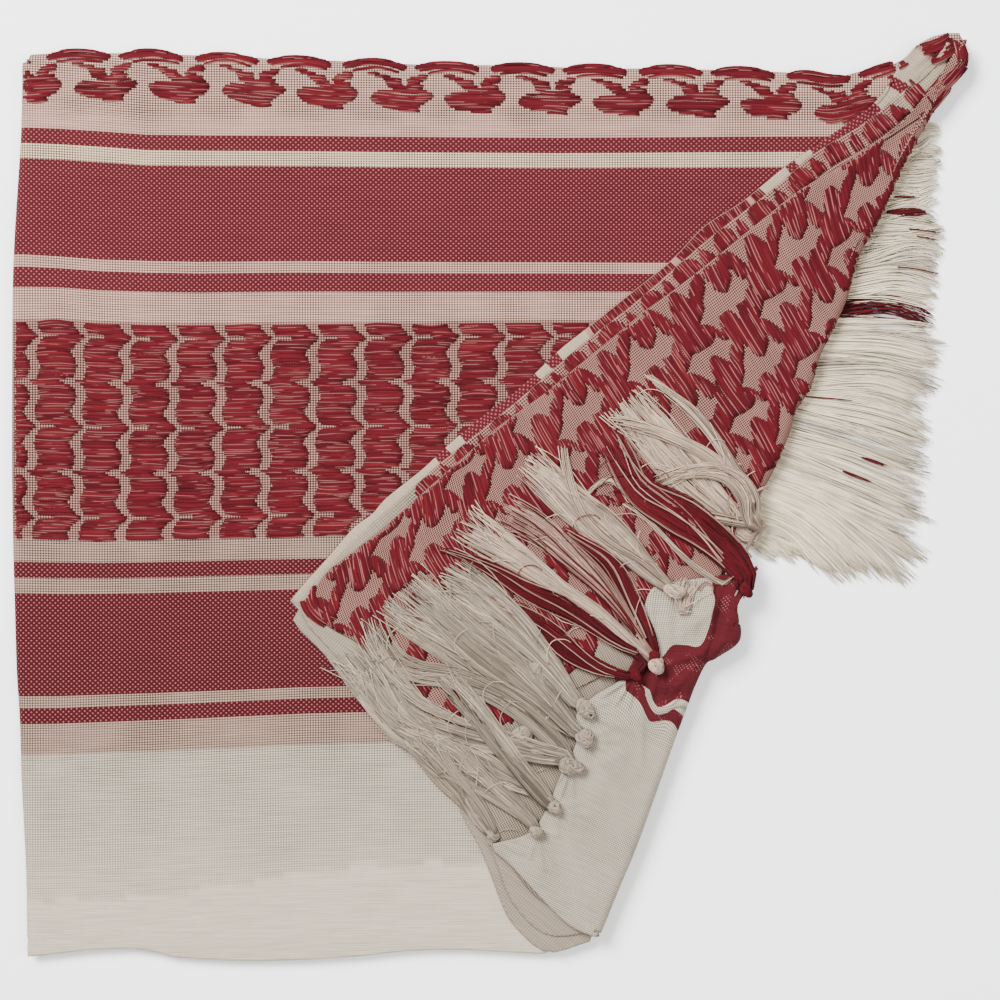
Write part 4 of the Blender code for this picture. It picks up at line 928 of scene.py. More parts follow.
def float_routes(spans, place, surface, cloth, draw, keep, bridge=False, step=2.6, lift=0.22):
    """Routes of floats: yarns that lie loose on the cloth between the places where the warp holds them.

    A span has its row, start, end and bow. Rows near each other drift together, which bunches them.
    """
    routes, flats, sizes = [], [], []
    for row, start, end, curve in spans:
        count = max(3, int((end - start) / step) + 2)
        t = np.linspace(0, 1, count)
        hump = np.sin(math.pi * t) ** 0.7
        loose = 0.45 + 0.55 * math.sin(start * 0.045 + row * 0.031 + 1.3) ** 2
        swing = 0.5 * math.sin(row * 1.1 + start * 0.21) + 0.4 * math.sin(row * 0.43 - start * 0.13)
        wave = loose * swing * np.sin(math.pi * t) * min(1.0, (end - start) / 12)
        wave += loose * draw.uniform(-0.15, 0.15) * np.sin(2 * math.pi * t + draw.uniform(0, 1))
        flats.append(np.column_stack([start + (end - start) * t, row + wave + curve * (4 * t * (1 - t))]))
        sizes.append((count, hump))
    placed = place(np.vstack(flats))
    at = 0
    for count, hump in sizes:
        points = placed[at:at + count]
        at += count
        kept = keep(points)
        first, last = np.argmax(kept), count - np.argmax(kept[::-1])
        points, hump = points[first:last], hump[first:last]
        if not kept.any() or len(points) < 2:
            continue
        heights = np.array([surface.height(x, y) for x, y in points])
        if bridge:
            heights = np.maximum(heights, 0.25 * heights + 0.75 * heights.max())
        high = heights + lift * (0.25 + 0.75 * hump) + draw.uniform(-0.04, 0.08)
        tone = min(1.0, max(0.0, draw.gauss(0.55, 0.13)))
        # Each float is darker towards its ends, where it dips into the cloth: painted shade
        routes.append({"points": np.column_stack([points, high]),
                       "width": cloth.float_width / MM * (0.85 + 0.15 * hump) * draw.uniform(0.88, 1.1),
                       "flat": 0.4, "tone": np.clip(tone - 0.25 * (1 - hump), 0, 1)})
    return routes


# ---------------------------------------------------------------- panel and the layers below it

def panel_outline(size):
    """Outline of the folded cloth."""
    return four_sides(LEFT_EDGE, TOP_EDGE, FOLD_EDGE, HEM_EDGE, size, size)


def panel_loop(size):
    """The same, drawn in under the diagonal fold."""
    outline = panel_outline(size)
    at_fold = np.zeros(len(outline))
    first, last, ease = 2 * size + 4, 3 * size - 3, 6
    at_fold[first:last + 1] = 1.0
    for i in range(ease):
        at_fold[[first - i, last + i]] = 1 - i / ease
    return inset_loop(outline, PANEL_INSET * at_fold)


def panel_shade(points):
    """How dark the painted shade in the holes is: more where red lies below, darker towards the top of the
    hem band, less in the close-woven selvedge.
    """
    x, v = points[:, 0], points[:, 1]
    ghost = 0.5 + 0.5 * np.sin(2 * math.pi * (x - TOP_START - 6) / TOP_REPEAT)
    shade = 1 + (0.3 * ghost * np.exp(-((v - 169) / 5.0) ** 2) - 0.2 * np.exp(-((v - 162) / 6.0) ** 2))
    for top, bottom, level in PANEL_SHADES:
        shade = np.where((v < top) & (v > bottom), level, shade)
    shade = np.where(v < -112, np.interp(v, (-175, -152, -112), (0.4, 0.65, 0.85)), shade)
    edge = -174.5 + 4.5 * np.clip((x + 150) / 90, 0, 1) * 2.2 + 0.9 * np.sin(x / 5.1) + 0.6 * np.sin(x / 2.3)
    return np.clip(np.where(v < edge, 0.08, shade), 0, 1.3)


def chain_spans(pitch):
    """Floats of the chain band: each row runs from one white line to the next."""
    parts, lefts, rights = ([row[key] for row in CHAIN_LINE] for key in ("part", "left", "right"))
    left_end, lines, least = -212.0, 18, 1.2
    spans = []
    for k in range(int((CHAIN_TOP - CHAIN_BOTTOM) / pitch) + 1):
        v = CHAIN_TOP - 0.5 - k * pitch
        phase = ((CHAIN_SPIKE - v) / CHAIN_PERIOD) % 1.0
        half = min(phase, 1.0 - phase)
        left, right = np.interp(half, parts, lefts), np.interp(half, parts, rights)
        drift = CHAIN_SLANT * (v - CHAIN_SPIKE)
        previous = left_end
        for column in range(lines):
            line = CHAIN_FIRST + CHAIN_PITCH * column + drift
            jitter = 0.35 * math.sin(k * 2.3 + column * 1.7)
            spans.append((v, previous, line + left + jitter, 0.0))
            previous = line + right + jitter
    # Floats that start right of this slanted line would lie under the turned-back end
    return [s for s in spans if s[2] - s[1] > least and s[1] < 90 - (CHAIN_TOP - s[0]) * 1.25 + 8]


def top_spans():
    """Floats of the houndstooth that shows along the top fold."""
    spans = []
    for repeat in range(-1, 12):
        left = TOP_START + repeat * TOP_REPEAT
        for row in TOP_ROWS:
            wobble = 0.5 * math.sin(repeat * 3.1 + row["down"])
            if repeat >= 0 or row["down"] >= 5:
                spans += [(-row["down"], left + start + wobble, left + end + wobble, row["bow"])
                          for start, end in row["floats"]]
    return [s for s in spans if s[2] - s[1] > 1.0]


class KEFFIYEH_OT_hidden_layers(bpy.types.Operator):
    """Build the folded layers below the panel, which show at its edges"""

    bl_idname = "keffiyeh.hidden_layers"
    bl_label = "Layers below"

    def execute(self, context):
        outline = panel_outline(STACK_SIZE)
        count = len(outline)
        at_fold, at_hem = np.zeros(count), np.zeros(count)
        at_fold[2 * STACK_SIZE + 3:3 * STACK_SIZE - 1] = 1.0
        at_hem[3 * STACK_SIZE + 1:] = 1.0
        verts, faces, marks = [], [], []
        layers, thickness, soft = 4, 0.8, 0.25
        inset, more_at_fold, less_at_hem = 2.9, 4.7, 2.0
        for layer in range(layers):
            wander = 0.5 * np.sin(np.arange(count) * 0.31 + layer * 2.0)
            insets = inset + more_at_fold * at_fold - less_at_hem * at_hem + wander + 0.4 * (layer % 2)
            base = layer * STACK_TOP / layers
            for bevel, height in ((0.3, 0.0), (0.0, soft), (0.0, thickness - soft), (0.3, thickness)):
                ring = inset_loop(outline, insets + bevel)
                verts.append(np.column_stack([ring, np.full(count, base + height)]))
                marks.append(np.column_stack([panel_weave(ring), np.full(count, 0.3)]))
            start = layer * 4 * count
            for a in range(start, start + 3 * count, count):
                faces += [(a + i, a + count + i, a + count + (i + 1) % count, a + (i + 1) % count)
                          for i in range(count)]
            faces.append(list(range(start, start + count)))
            faces.append(list(range(start + 3 * count, start + 4 * count))[::-1])
        piece = mesh_object("hidden_layers_cloth", np.vstack(verts), faces,
                            woven_cotton("undyed_muslin", context.scene), [("weave", np.vstack(marks))])
        finish_piece(piece, "hidden_layers")
        return {"FINISHED"}


class KEFFIYEH_OT_border_panel(bpy.types.Operator):
    """Build the striped panel on top of the folded cloth, with its chain band and top pattern"""

    bl_idname = "keffiyeh.border_panel"
    bl_label = "Border panel"

    def execute(self, context):
        cloth = context.scene.keffiyeh_cloth
        loop = panel_loop(PANEL_SIZE)
        curls = np.zeros(len(loop))
        curls[2:2 * PANEL_SIZE - 1] = 1.0
        ends = [row["from"] for row in PANEL_STRIPES[1:]] + [-PANEL_END]
        stripes = [(end, row["weft"]) for end, row in zip(ends, PANEL_STRIPES)]
        material = woven_cotton("striped_muslin", context.scene, stripes, -PANEL_END, PANEL_END)

        def weave(points):
            """Cloth places and hole shade."""
            woven = panel_weave(points)
            return np.column_stack([woven, panel_shade(woven)])

        def place_top(points):
            """Rows of the top pattern hang from the top edge."""
            return np.column_stack([points[:, 0], points[:, 1] + np.interp(points[:, 0], *edge.T)])

        piece = cloth_shell("border_panel_cloth", loop, (PANEL_SIZE, PANEL_SIZE), PANEL_TOP, curls, FLOOR_GAP,
                            lambda flat: ridges(flat, PANEL_FOLDS), weave, material, cloth.thickness)
        surface = Surface(piece.name)
        edge = smooth_line(TOP_EDGE, 300)
        draw = random.Random(11)
        # Each float's pale edge: the paler cloth between floats, with a painted highlight on the edge fibres
        red = spun_yarn("dyed_red_float_yarn", RED_TONES, "#885853", 0.6)
        chain = chain_spans(cloth.weft_pitch / MM * FLOAT_PACKING)
        routes = float_routes(chain, panel_to_world, surface, cloth, draw, lambda p: p[:, 0] > -209)
        routes += float_routes(top_spans(), place_top, surface, cloth, draw,
                               lambda p: (p[:, 0] > -204.6) & (p[:, 0] < 178))
        floats = yarn_mesh("border_panel_floats", routes, red, sides=4)
        finish_piece(piece, "border_panel")
        return {"FINISHED"}


# ---------------------------------------------------------------- turned-back end

def flap_loop(left, end, right, size):
    """Clockwise outline of a layer of the turned-back end."""
    start = [left[0], ((left[0][0] + right[0][0]) / 2, (left[0][1] + right[0][1]) / 2), right[0]]
    return four_sides(left[::-1], start, right + [end[-1]], end[::-1], *size)


def houndstooth_spans(pitch, low, high, reach):
    """Floats of the houndstooth field: in each row, what the white figures leave."""
    tables = [np.array(FIGURE_EVEN).T, np.array(FIGURE_ODD).T]
    rim, least, left_end = 0.7, 0.9, -14.0
    spans = []
    for k in range(int((high - low) / pitch)):
        b = low + k * pitch
        white = []
        for column in range(-1, int(reach / COLUMN_PITCH) + 2):
            downs, lefts, rights = tables[column % 2]
            shift = REPEAT / 2 * ((column + 1) % 2)
            down = b - (round((b - shift) / REPEAT) * REPEAT + shift) + FIGURE_HEIGHT / 2
            if 0 <= down <= FIGURE_HEIGHT:
                middle = column * COLUMN_PITCH
                white.append((middle + np.interp(down, downs, lefts) + rim,
                              middle + np.interp(down, downs, rights) - rim))
        cursor = left_end
        for left, right in sorted(white) + [(reach, math.inf)]:
            if right > left:
                if left - cursor > least:
                    spans.append((b, cursor, left, 0.0))
                cursor = max(cursor, right)
    return spans


def clump_routes(clump, surface, cloth, draw, keep):
    """Floats of one clump, in rows from its first to its last."""
    first, last = (np.array(place, float) for place in clump["rows"])
    turn = math.radians(clump["turn"])
    ahead = np.array([math.cos(turn), math.sin(turn)])
    height = np.linalg.norm(last - first)
    stack = (last - first) / height
    spans = []
    for k in range(int(height / CLUMP_PITCH) + 1):
        length = np.interp(k * CLUMP_PITCH / height, (0, 1), clump["length"]) * draw.uniform(0.85, 1.05)
        spans.append((k * CLUMP_PITCH, -length / 2, length / 2, clump["bow"]))
    return float_routes(spans, lambda flat: first + flat[:, 1:] * stack + flat[:, :1] * ahead, surface, cloth,
                        draw, keep, True)


def border_spans(pitch, marks, gap):
    """Floats of the border layer: its band, with two gaps, and the last rows before the tip."""
    start, end = (marks[k] for k in FLOAT_STRIPES)
    left, band_right, tip_right, tip_start = 0.3, 13.0, 10.0, 2
    gaps = ((gap, 1.6), (start + 6.0, 1.4))   # middle and half width
    rows = [start + k * pitch for k in range(int((end - start) / pitch))]
    spans = [(row, left, band_right, 0.0) for row in rows if all(abs(row - at) > half for at, half in gaps)]
    return spans + [(tip_start + k * pitch, left, tip_right, 0.0)
                    for k in range(int((marks[0] - tip_start) / pitch))]


def second_spans(pitch, length):
    """Floats of the second layer: the houndstooth's figures, cut by the fold."""
    first, bare, repeat = 23, 90, 21.0
    left, right = 0.2, 9.0
    spans = []
    for k in range(int((length - bare) / pitch)):
        row = first + k * pitch
        beat = (row % repeat) / repeat
        size = 0.56 + 0.07 * math.sin(row * 0.13)
        if beat < size:   # a large figure, round at its left
            spans.append((row, left + 3.4 * (1 - math.sin(math.pi * beat / size)) ** 2, right, 0.0))
        elif size + 0.1 < beat < 0.94:   # a small one, pointed
            spans.append((row, left + 5.0 * abs(beat - 0.8) / 0.14, right, 0.0))
    return spans


def knot_creases():
    """Creases of the end that fan out from its knots."""
    creases = []
    for row in TASSELS:
        if row["node"] not in CREASELESS:
            knot, towards = np.array(row["knot"]), np.array(row["hanks"][0]["route"][0])
            away = (knot - towards) / np.linalg.norm(knot - towards)
            for turn, length, height in KNOT_CREASES:
                end = knot + length * np.array([away[0] * math.cos(turn) - away[1] * math.sin(turn),
                                                away[0] * math.sin(turn) + away[1] * math.cos(turn)])
                creases.append((knot, end, height, 1.0))
    return creases


class KEFFIYEH_OT_flap_layers(bpy.types.Operator):
    """Build the layers of the turned-back end: border, second, houndstooth field and knotted end"""

    bl_idname = "keffiyeh.flap_layers"
    bl_label = "Turned-back end"

    def layer(self, name, node, slot, loop, size, top, folds, weave, material,
              curls=None, foot=0.0, rise=0.0):
        """One layer, with its folds, as a finished piece."""
        curls = np.zeros(len(loop)) if curls is None else curls
        piece = cloth_shell(name, loop, size, top, curls, foot, lambda flat: rise + ridges(flat, folds),
                            weave, material, self.cloth.thickness)
        finish_piece(piece, node)
        return piece

    def build_border(self, scene):
        """The lowest layer, with its stripes across the left edge."""
        edge = smooth_line(BORDER_LEFT, 400)
        at = arc_lengths(edge)
        marks, gap = ([at[((edge - np.array(place)) ** 2).sum(1).argmin()] for place in places]
                      for places in ([row["at"] for row in BORDER_STRIPES], [FLOAT_GAP]))
        stripes = [(0.0, "blush")] + [(mark, row["weft"]) for mark, row in zip(marks, BORDER_STRIPES)]
        stripes.append((at[-1] - 2, "shaded"))
        material = woven_cotton("border_stripe_muslin", scene, stripes, 0.0, at[-1] + 40)

        def weave(points):
            """Cloth places and hole shade."""
            away, along = along_edge(points, BORDER_LEFT)
            dark = np.interp(along, (50, 80, at[-1] - 8, at[-1] - 1), (0.4, 0.3, 0.15, 0.4))
            return np.column_stack([away, along, dark])

        self.border_loop = flap_loop(BORDER_LEFT, BORDER_END, INNER_FOLD_EDGE, LAYER_GRID)
        self.border = self.layer("flap_border_cloth", "flap_border_layer", "cotton_striped", self.border_loop,
                                 LAYER_GRID, BORDER_LAYER_TOP, TIP_FOLDS + LOWER_FOLDS, weave, material)
        return edge, border_spans(self.cloth.weft_pitch / MM, marks, gap[0])

    def build_second(self, scene):
        """The layer above it, whose houndstooth shows as a strip."""
        stripes = [(-100.0, "cream"), (36.0, "blush"), (300.0, "shaded")]
        material = woven_cotton("houndstooth_edge_muslin", scene, stripes, -100.0, 700.0, hole="#1c0f0d")

        def weave(points):
            """Cloth places and hole shade."""
            away, along = along_edge(points, SECOND_LEFT)
            return np.column_stack([away, along, np.interp(along, (22, 42, 280, 340), (0.6, 1.1, 1.1, 0.4))])

        self.second_loop = flap_loop(SECOND_LEFT, SECOND_END, INNER_FOLD_EDGE, LAYER_GRID)
        self.second = self.layer("flap_second_cloth", "flap_second_layer", "cotton_houndstooth",
                                 self.second_loop, LAYER_GRID, SECOND_LAYER_TOP, TIP_FOLDS + SECOND_FOLDS,
                                 weave, material)
        edge = smooth_line(SECOND_LEFT, 400)
        return edge, second_spans(self.cloth.weft_pitch / MM, arc_lengths(edge)[-1])

    def build_field(self, scene):
        """The houndstooth field, with its floats and the clumps of floats beside it."""
        places = np.array(FIELD_POINTS, float)
        to_world = thin_plate(places[:, :2], places[:, 2:])
        to_cloth = thin_plate(places[:, 2:], places[:, :2])

        def limit(woven):
            """How far past the last figures a place is."""
            return (woven - np.array(FIELD_LIMIT)).min(1)

        def weave(flat):
            """Cloth places and hole shade. The field is drawn in, so that its net is finer."""
            woven = to_cloth(flat)
            return np.column_stack([woven * FIELD_DRAWN_IN, np.interp(limit(woven), (-20, 0), (1.2, 0.85))])

        rows, columns = FIELD_GRID
        loop = flap_loop(FIELD_LEFT, FIELD_END, FOLD_EDGE[2:-1], FIELD_GRID)
        open_fold = np.clip(0.5 + (loop[:, 1] + 8.0) / 10.0, 0, 1)
        on_fold = np.zeros(len(loop))
        on_fold[rows + columns - 6:2 * rows + columns] = 1.0
        loop = inset_loop(loop, FIELD_INSET * on_fold * (1 - open_fold))
        material = woven_cotton("houndstooth_muslin", scene, [(-20.0, "blush"), (0.0, "shaded")], -20.0, 20.0,
                                dye=True, hole="#1c0f0d")
        field = self.layer("flap_field_cloth", "flap_field_layer", "cotton_houndstooth", loop, FIELD_GRID,
                           FIELD_TOP, TIP_FOLDS, weave, material, on_fold * open_fold, 4.0)
        points = np.array([v.co.xy[:] for v in field.data.vertices]) / MM
        add_values(field.data, "dye", limit(to_cloth(points)))
        spans = houndstooth_spans(self.cloth.weft_pitch / MM * FLOAT_PACKING, -110.0, 275.0, 108.0)
        tip = 364   # x + y of the line past which the field's tip is bare
        routes = float_routes(spans, to_world, Surface(field.name), self.cloth, self.random,
                              lambda p: inside(p, loop) & (p[:, 0] + p[:, 1] < tip))
        layers = Surface("border_panel_cloth", self.border.name, self.second.name, field.name)

        def shows(p):
            """Where a clump's floats may lie: on the field, on the second layer and beyond the fold."""
            return inside(p, loop) | inside(p, self.second_loop) | (p[:, 0] > 178)

        for clump in CLUMPS:
            routes += clump_routes(clump, layers, self.cloth, self.random, shows)
        self.field, self.field_loop = field, loop
        return yarn_mesh("flap_field_floats", routes, self.red, sides=4)

    def build_floats(self, name, piece, loop, edge, spans):
        """Floats that start at a layer's left edge."""
        routes = float_routes(spans, beside(edge), Surface(piece.name), self.cloth, self.random,
                              lambda p: inside(p, loop))
        return yarn_mesh(name, routes, self.red, sides=4)

    def build_end(self, scene):
        """The knotted end, dyed in two areas."""
        rows, columns = END_GRID
        loop = four_sides(END_KNOT_EDGE[::-1], [END_KNOT_EDGE[0], (113.5, -31.5), END_FOLD_EDGE[0]],
                          END_FOLD_EDGE, END_HEM[::-1], rows, columns)
        curls = np.zeros(len(loop))
        curls[rows + columns + 22:2 * rows + columns] = 1.0
        material = woven_cotton("end_muslin", scene, [(-20.0, "white"), (0.0, "red")], -20.0, 20.0, dye=True,
                                patchy=True)
        places = np.array(END_POINTS)
        to_cloth = thin_plate(places[:, :2], places[:, 2:])

        def weave(flat):
            """Cloth places and hole shade. The knots draw the yarns closer together."""
            return np.column_stack([to_cloth(flat) * END_DRAWN_IN, np.full(len(flat), 0.75)])

        end = self.layer("flap_end_cloth", "flap_end_layer", "cotton_striped", loop, END_GRID, END_TOP,
                         END_CRUMPLES + knot_creases(), weave, material, curls, FLOOR_GAP, 0.8)
        points = np.array([v.co[:2] for v in end.data.vertices]) / MM
        dyed = np.maximum(*(signed_distance(points, smooth_line(area + area[:1], 140)[:-1])
                            for area in (END_RED, END_STRIPE)))
        add_values(end.data, "dye", np.clip(dyed, -19, 19))
        return end, loop

    def execute(self, context):
        scene = context.scene
        self.cloth = scene.keffiyeh_cloth
        self.red = bpy.data.materials["dyed_red_float_yarn"]
        self.random = random.Random(23)
        border_rows = self.build_border(scene)
        second_rows = self.build_second(scene)
        field_floats = self.build_field(scene)
        border_floats = self.build_floats("flap_border_floats", self.border, self.border_loop, *border_rows)
        second_floats = self.build_floats("flap_second_floats", self.second, self.second_loop, *second_rows)
        end, end_loop = self.build_end(scene)
        return {"FINISHED"}


# ---------------------------------------------------------------- fringe and tassels

def station(position):
    """Root, bend and tip of the fringe at a fractional row of its table."""
    rows = np.array([(row["root"], row["bend"], row["tip"]) for row in FRINGE_STATIONS], float)
    numbers = np.arange(len(rows))
    return [np.array([np.interp(position, numbers, rows[:, place, k]) for k in (0, 1)]) for place in range(3)]


def wavy(part, draw, low, high):
    """A sine wave along a line, of a random pitch from low to high and a random start."""
    return np.sin(part * draw.uniform(low, high) + draw.uniform(0, 6))


def bundle(centre, base, widths, thick, count, settings, draw, reach=(0.9, 1.0), root_shade=0.0):
    """Yarns that run together along a line, turning slowly round each other. Their tones carry painted light
    and shade: yarns high in the bundle are paler and low ones darker, and by the given amount they darken
    near the start of the line and pale at its end.
    """
    number = len(centre)
    part = np.linspace(0, 1, number)
    across = unit_across(centre)
    turn, shade, size = draw.uniform(-1.6, 1.6), draw.gauss(0, 0.1), settings.yarn / MM
    widths, thick = np.broadcast_to(widths, number), np.broadcast_to(thick, number)
    routes = []
    for _ in range(count):
        angle = draw.uniform(0, 2 * math.pi) + turn * part
        radius = math.sqrt(draw.random()) * (1 + 0.12 * wavy(part, draw, 3, 9))
        side = radius * np.cos(angle) * widths / 2
        high = (0.5 + 0.5 * radius * np.sin(angle)) * thick
        points = np.column_stack([centre + across * side[:, None], base + size * 0.4 + high])
        stops = np.linspace(0, draw.uniform(*reach), number)
        points = np.column_stack([np.interp(stops, part, points[:, k]) for k in range(3)])
        level = float(np.mean(high / np.maximum(thick, 0.1)))
        # Painted light and shade: higher yarns paler, and darker near the start, paler at the end, by the
        # given amount
        tone = np.clip(0.22 + 0.5 * level + shade + draw.gauss(0, 0.1) + root_shade * (stops - 0.55), 0, 1)
        routes.append({"points": points, "tone": tone, "width": size * np.linspace(1.05, 0.6, number)})
    return routes


class KEFFIYEH_OT_fringe(bpy.types.Operator):
    """Build the fringe that comes out from under the diagonal fold"""

    bl_idname = "keffiyeh.fringe"
    bl_label = "Fringe"

    def lock(self, position, width, part, settings, draw):
        """Yarns of one lock of the fringe."""
        spans = [np.linalg.norm(b - a) for a, b in zip(station(position), station(position + width))]
        root, bend, tip = station(position + width / 2)
        normal = np.array([-(tip - root)[1], (tip - root)[0]]) / np.linalg.norm(tip - root)
        inner = root + (root - bend) / np.linalg.norm(root - bend) * 4.5
        tip = root + (tip - root) * draw.uniform(0.92, 1.03) + normal * draw.uniform(-2.4, 2.4)
        bend = bend + normal * draw.uniform(-1.1, 1.1)
        line = smooth_line([inner, root, bend, tip], len(part))
        line += normal * (0.8 * wavy(part, draw, 4, 8) * part)[:, None]
        widths = np.interp(part, (0, 0.5, 1), spans) * np.interp(part, (0, 0.7, 1), (1.6, 1.55, 1.15))
        low = np.linspace(draw.uniform(0.3, 1.7), draw.uniform(0.0, 1.5), len(part))
        return bundle(line, low, widths, np.linspace(1.7, 1.5, len(part)),
                      max(6, int(max(spans) * settings.per_millimetre)), settings, draw, (0.84, 1.0))

    def execute(self, context):
        settings = context.scene.keffiyeh_fringe
        draw = random.Random(37)
        # Dark edges between the fringe's yarns: painted shadow
        yarns = {"white": spun_yarn("undyed_fringe_yarn", FRINGE_TONES, "#5b5246", 0.3),
                 "red": spun_yarn("dyed_fringe_yarn", RED_TONES, "#2a070b", 0.4)}
        part = np.linspace(0, 1, 13)
        for group in FRINGE_GROUPS:
            position, routes = group["from"], []
            while position < group["to"] - 0.02:
                width = min(draw.uniform(0.18, 0.5), group["to"] - position)
                routes += self.lock(position, width, part, settings, draw)
                position += width
            yarn_mesh(group["node"] + "_yarns", routes, yarns[group["yarn"]],
                      group["node"])
        routes = []
        for fleck in FRINGE_FLECKS:
            line = smooth_line(station(fleck["at"]), 41)
            first, last = (int(40 * share) for share in fleck["parts"])
            line = evenly(line[first:last + 1], len(part))
            widths = fleck["spread"] * np.sin(math.pi * (0.1 + 0.75 * part))
            routes += bundle(line, 2.6, widths, 0.9, fleck["yarns"], settings, draw, (0.8, 1.0))
        yarn_mesh("fringe_red_threads", routes, yarns["red"])
        return {"FINISHED"}


def hank_line(knot, hank, count):
    """A hank's middle line, and the part, the way across and the width at each of its points."""
    centre, part = smooth_line([knot] + hank["route"], count), np.linspace(0, 1, count)
    width = np.interp(part, (0, 0.12, 0.5, 1), (hank["widths"][0] * 0.6, *hank["widths"]))
    return centre, part, unit_across(centre), width


def hank_yarns(hank, knot, settings, pile, draw):
    """Yarns of one hank, in locks that leave the knot together and spread towards the tips."""
    centre, part, across, width = hank_line(knot, hank, 15)
    yarns = hank["yarns"]
    locks = max(1, round(yarns / 20))
    order = list(range(locks))
    draw.shuffle(order)
    lift = hank["up"] * np.sin(math.pi * part) ** 0.5
    own = width / locks * (1.9 if locks > 1 else 1.0)
    thick = np.interp(part, (0, 0.15, 0.5, 1), (2.6, 2.4, 1.9, 1.1)) * min(1.0, 0.5 + float(own.mean()) / 6)
    routes = []
    for k in order:
        place = (k + 0.5) / locks - 0.5 + draw.uniform(-0.4, 0.4) / locks
        wander = 0.55 / locks * wavy(part, draw, 4, 9)
        line = centre + across * ((place + wander) * width * (1 - 0.75 / locks))[:, None]
        base = np.pad(pile.tops_along(line), 2, "edge")
        base = np.convolve(base, (0.15, 0.22, 0.26, 0.22, 0.15), "valid")
        # The hanks are darker near the knot and paler at the tips: painted shade
        routes += bundle(line, base + 0.15 + lift * 0.5, own, thick, max(4, int(yarns * 1.5) // locks),
                         settings, draw, (0.72, 1.0), 0.34)
    for _ in range(max(1, yarns // 25)):
        wave = draw.uniform(0.3, 0.75) * width * wavy(part, draw, 2, 6)
        line = centre + across * (wave * part ** 0.5)[:, None]
        base = pile.tops_along(line) + 1.6 + 0.6 * np.sin(part * 7)
        routes.append({"points": np.column_stack([line, base])[2:], "tone": 0.8,
                       "width": settings.yarn / MM * 0.8})
    pile.add(routes)
    return routes + stray_yarns(centre, float(width.mean()), pile, settings, draw, max(2, yarns // 22))


def stray_yarns(centre, width, pile, settings, draw, number):
    """Thin curling yarns that have come loose along a hank."""
    routes = []
    for _ in range(number):
        k = draw.randrange(1, len(centre) - 2)
        ahead = centre[k + 1] - centre[k]
        turn = math.atan2(ahead[1], ahead[0]) + draw.uniform(-0.7, 0.7)
        curl, place = draw.uniform(-0.28, 0.28), centre[k] + width / 2 * draw.uniform(-1, 1)
        points = []
        for step in range(draw.randrange(9, 17)):
            points.append((*place, pile.top(*place) + 1.0 + 0.5 * math.sin(step * 0.7)))
            place = place + 1.5 * np.array([math.cos(turn), math.sin(turn)])
            turn += curl + draw.uniform(-0.2, 0.2)
        routes.append({"points": points, "tone": draw.uniform(0.6, 1.0), "width": settings.yarn / MM * 0.75})
    return routes


def side_yarns(row, sides, settings, pile, draw):
    """Yarns of the other colour that lie beside a tassel's hanks, at parts of their width."""
    routes = []
    for hank in row["hanks"]:
        centre, part, across, width = hank_line(row["knot"], hank, 17)
        for side in sides:
            wave = width * side + 0.8 * wavy(part, draw, 5, 10)
            line = (centre + across * wave[:, None])[2:]
            base = pile.tops_along(line) + 0.7 + 0.06 * width[2:]
            routes += bundle(line, base, 0.7, 0.5, 2, settings, draw)
    return routes


def knot_yarns(knot, across, height, heading, draw):
    """A soft lump of yarn turns, longer along its tassel."""
    routes = []
    turn = np.linspace(0, 2 * math.pi, 15)
    ahead = np.array([math.cos(heading), math.sin(heading)])
    aside = np.array([-ahead[1], ahead[0]])
    lobes = [(draw.uniform(0.05, 0.14), draw.uniform(0, 6)) for _ in range(2)]
    for _ in range(30):
        axis = Vector((draw.gauss(0, 1), draw.gauss(0, 1), draw.gauss(0, 0.7))).normalized()
        first = axis.orthogonal().normalized()
        second = axis.cross(first)
        ring = np.array([first * math.cos(a) + second * math.sin(a) for a in turn])
        offset = np.array(axis) * draw.uniform(-0.6, 0.6)
        ring = ring * math.sqrt(max(0.2, 1 - float(offset @ offset))) + offset
        angle = np.arctan2(ring[:, 1], ring[:, 0])
        ring *= (1 + lobes[0][0] * np.sin(2 * angle + lobes[0][1])
                 + lobes[1][0] * np.sin(3 * angle + lobes[1][1]))[:, None]
        flat = (np.outer(ring[:, 0] * 1.3, ahead) + np.outer(ring[:, 1] * 0.95, aside)) * (across / 2 + 0.3)
        routes.append({"points": np.column_stack([flat + knot, ring[:, 2] * 1.5 + height]),
                       "tone": min(1, max(0, draw.gauss(0.58, 0.05))), "width": 0.95})
    return routes


